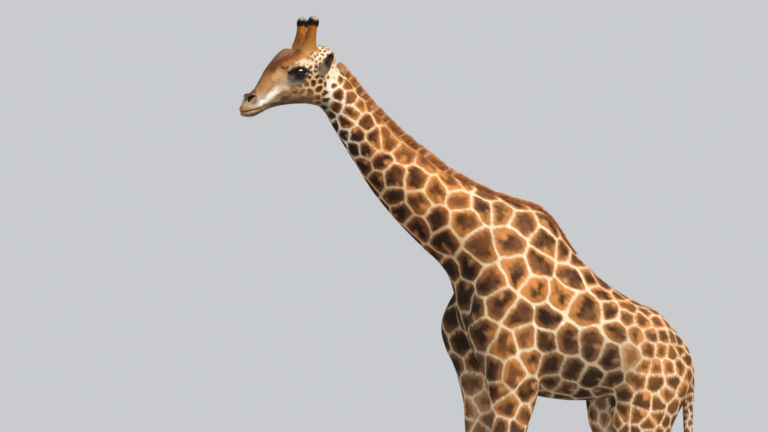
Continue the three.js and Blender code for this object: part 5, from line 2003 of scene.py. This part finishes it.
across = np.array([math.cos(CAMERA_TURN), math.sin(CAMERA_TURN), 0])
back = np.array([math.sin(CAMERA_TURN), -math.cos(CAMERA_TURN), 0])
aim = across * AIM_ACROSS + [0, 0, AIM_HIGH]
stand = aim * [1, 1, 0] + back * CAMERA_REACH + [0, 0, CAMERA_HEIGHT]
camera = bpy.data.objects.new("camera", bpy.data.cameras.new("camera"))
bpy.context.scene.collection.objects.link(camera)
bpy.context.scene.camera = camera
camera.location = Vector(stand + SHIFT)
camera.rotation_euler = Vector(aim - stand).to_track_quat("-Z", "Y").to_euler()
camera.data.sensor_width = SENSOR_WIDE
camera.data.lens = SENSOR_WIDE * np.linalg.norm(aim - stand) / VIEW_WIDE
camera.data.clip_end = 500


def area_light(name, place, target, size, power, colour, in_glints=True):
    """A round soft light. in_glints says whether glossy surfaces mirror it."""
    light = bpy.data.objects.new(name, bpy.data.lights.new(name, "AREA"))
    light.data.shape = "DISK"
    light.data.size = size
    light.data.energy = power
    light.data.color = colour
    light.location = Vector(place)
    light.rotation_euler = (Vector(target) - Vector(place)).to_track_quat("-Z", "Y").to_euler()
    light.visible_glossy = in_glints
    bpy.context.scene.collection.objects.link(light)
    return light


def glint_light(label, side):
    """A wide soft light over an eye, which lights nothing else, for the glint on it."""
    eyeball = bpy.data.objects["eyeball_" + label]
    middle = points_of(eyeball.data).mean(axis=0) + SHIFT
    spot = middle + 5.0 * np.array(GLINT) * [1, side, 1]
    glint = area_light("glint_" + label, spot, middle, 6.0, 1700, (1, 1, 1))
    glint.data.shape = "ELLIPSE"
    glint.data.size_y = 2.6
    only = bpy.data.collections.new("lit_by_glint_" + label)
    only.objects.link(eyeball)
    glint.light_linking.receiver_collection = only


MIDDLE = (0.3, 0.0, 2.4)
GLINT = (0.18, 0.78, 0.62)  # the way to it from the right eye
FLOOR_REACH, FLOOR_CORNERS = 28.0, 96
area_light("key", (3.2, -9.5, 12.5), MIDDLE, 5.4, 1650, (1.0, 0.955, 0.88))
area_light("fill", (-9.0, -8.0, 4.0), MIDDLE, 6.0, 120, (0.93, 0.96, 1.0), in_glints=False)
area_light("rim", (4.0, 9.0, 8.0), MIDDLE, 5.0, 350, (1.0, 0.98, 0.95), in_glints=False)
for label, side in SIDES.items():
    glint_light(label, side)

world = bpy.data.worlds.new("studio")
bpy.context.scene.world = world
world.use_nodes = True
backdrop = world.node_tree.nodes["Background"]
backdrop.inputs["Color"].default_value = (0.86, 0.88, 0.91, 1)
backdrop.inputs["Strength"].default_value = 0.68

floor_edge = np.stack([*circle(FLOOR_CORNERS), np.zeros(FLOOR_CORNERS)], axis=1) * FLOOR_REACH
floor = new_object("floor", floor_edge, [tuple(range(FLOOR_CORNERS))])
floor.data.materials.append(floor_material())


def place_piece(thing, nodes):
    """Moves a piece to the CAD frame, hangs it from the root, and hides the CAD parts that it stands for."""
    move_points(thing.data, points_of(thing.data) + SHIFT)
    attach(thing, "root")
    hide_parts(*nodes)


place_piece(skin, FLESH)
for piece in coat_pieces:
    place_piece(piece, FLESH)
place_piece(mane, ["mane"])
place_piece(tuft, ["tail_tuft"])
for piece, node, slot in small_pieces:
    place_piece(piece, [node] if node else FLESH)

bpy.context.scene.view_settings.view_transform = "Standard"
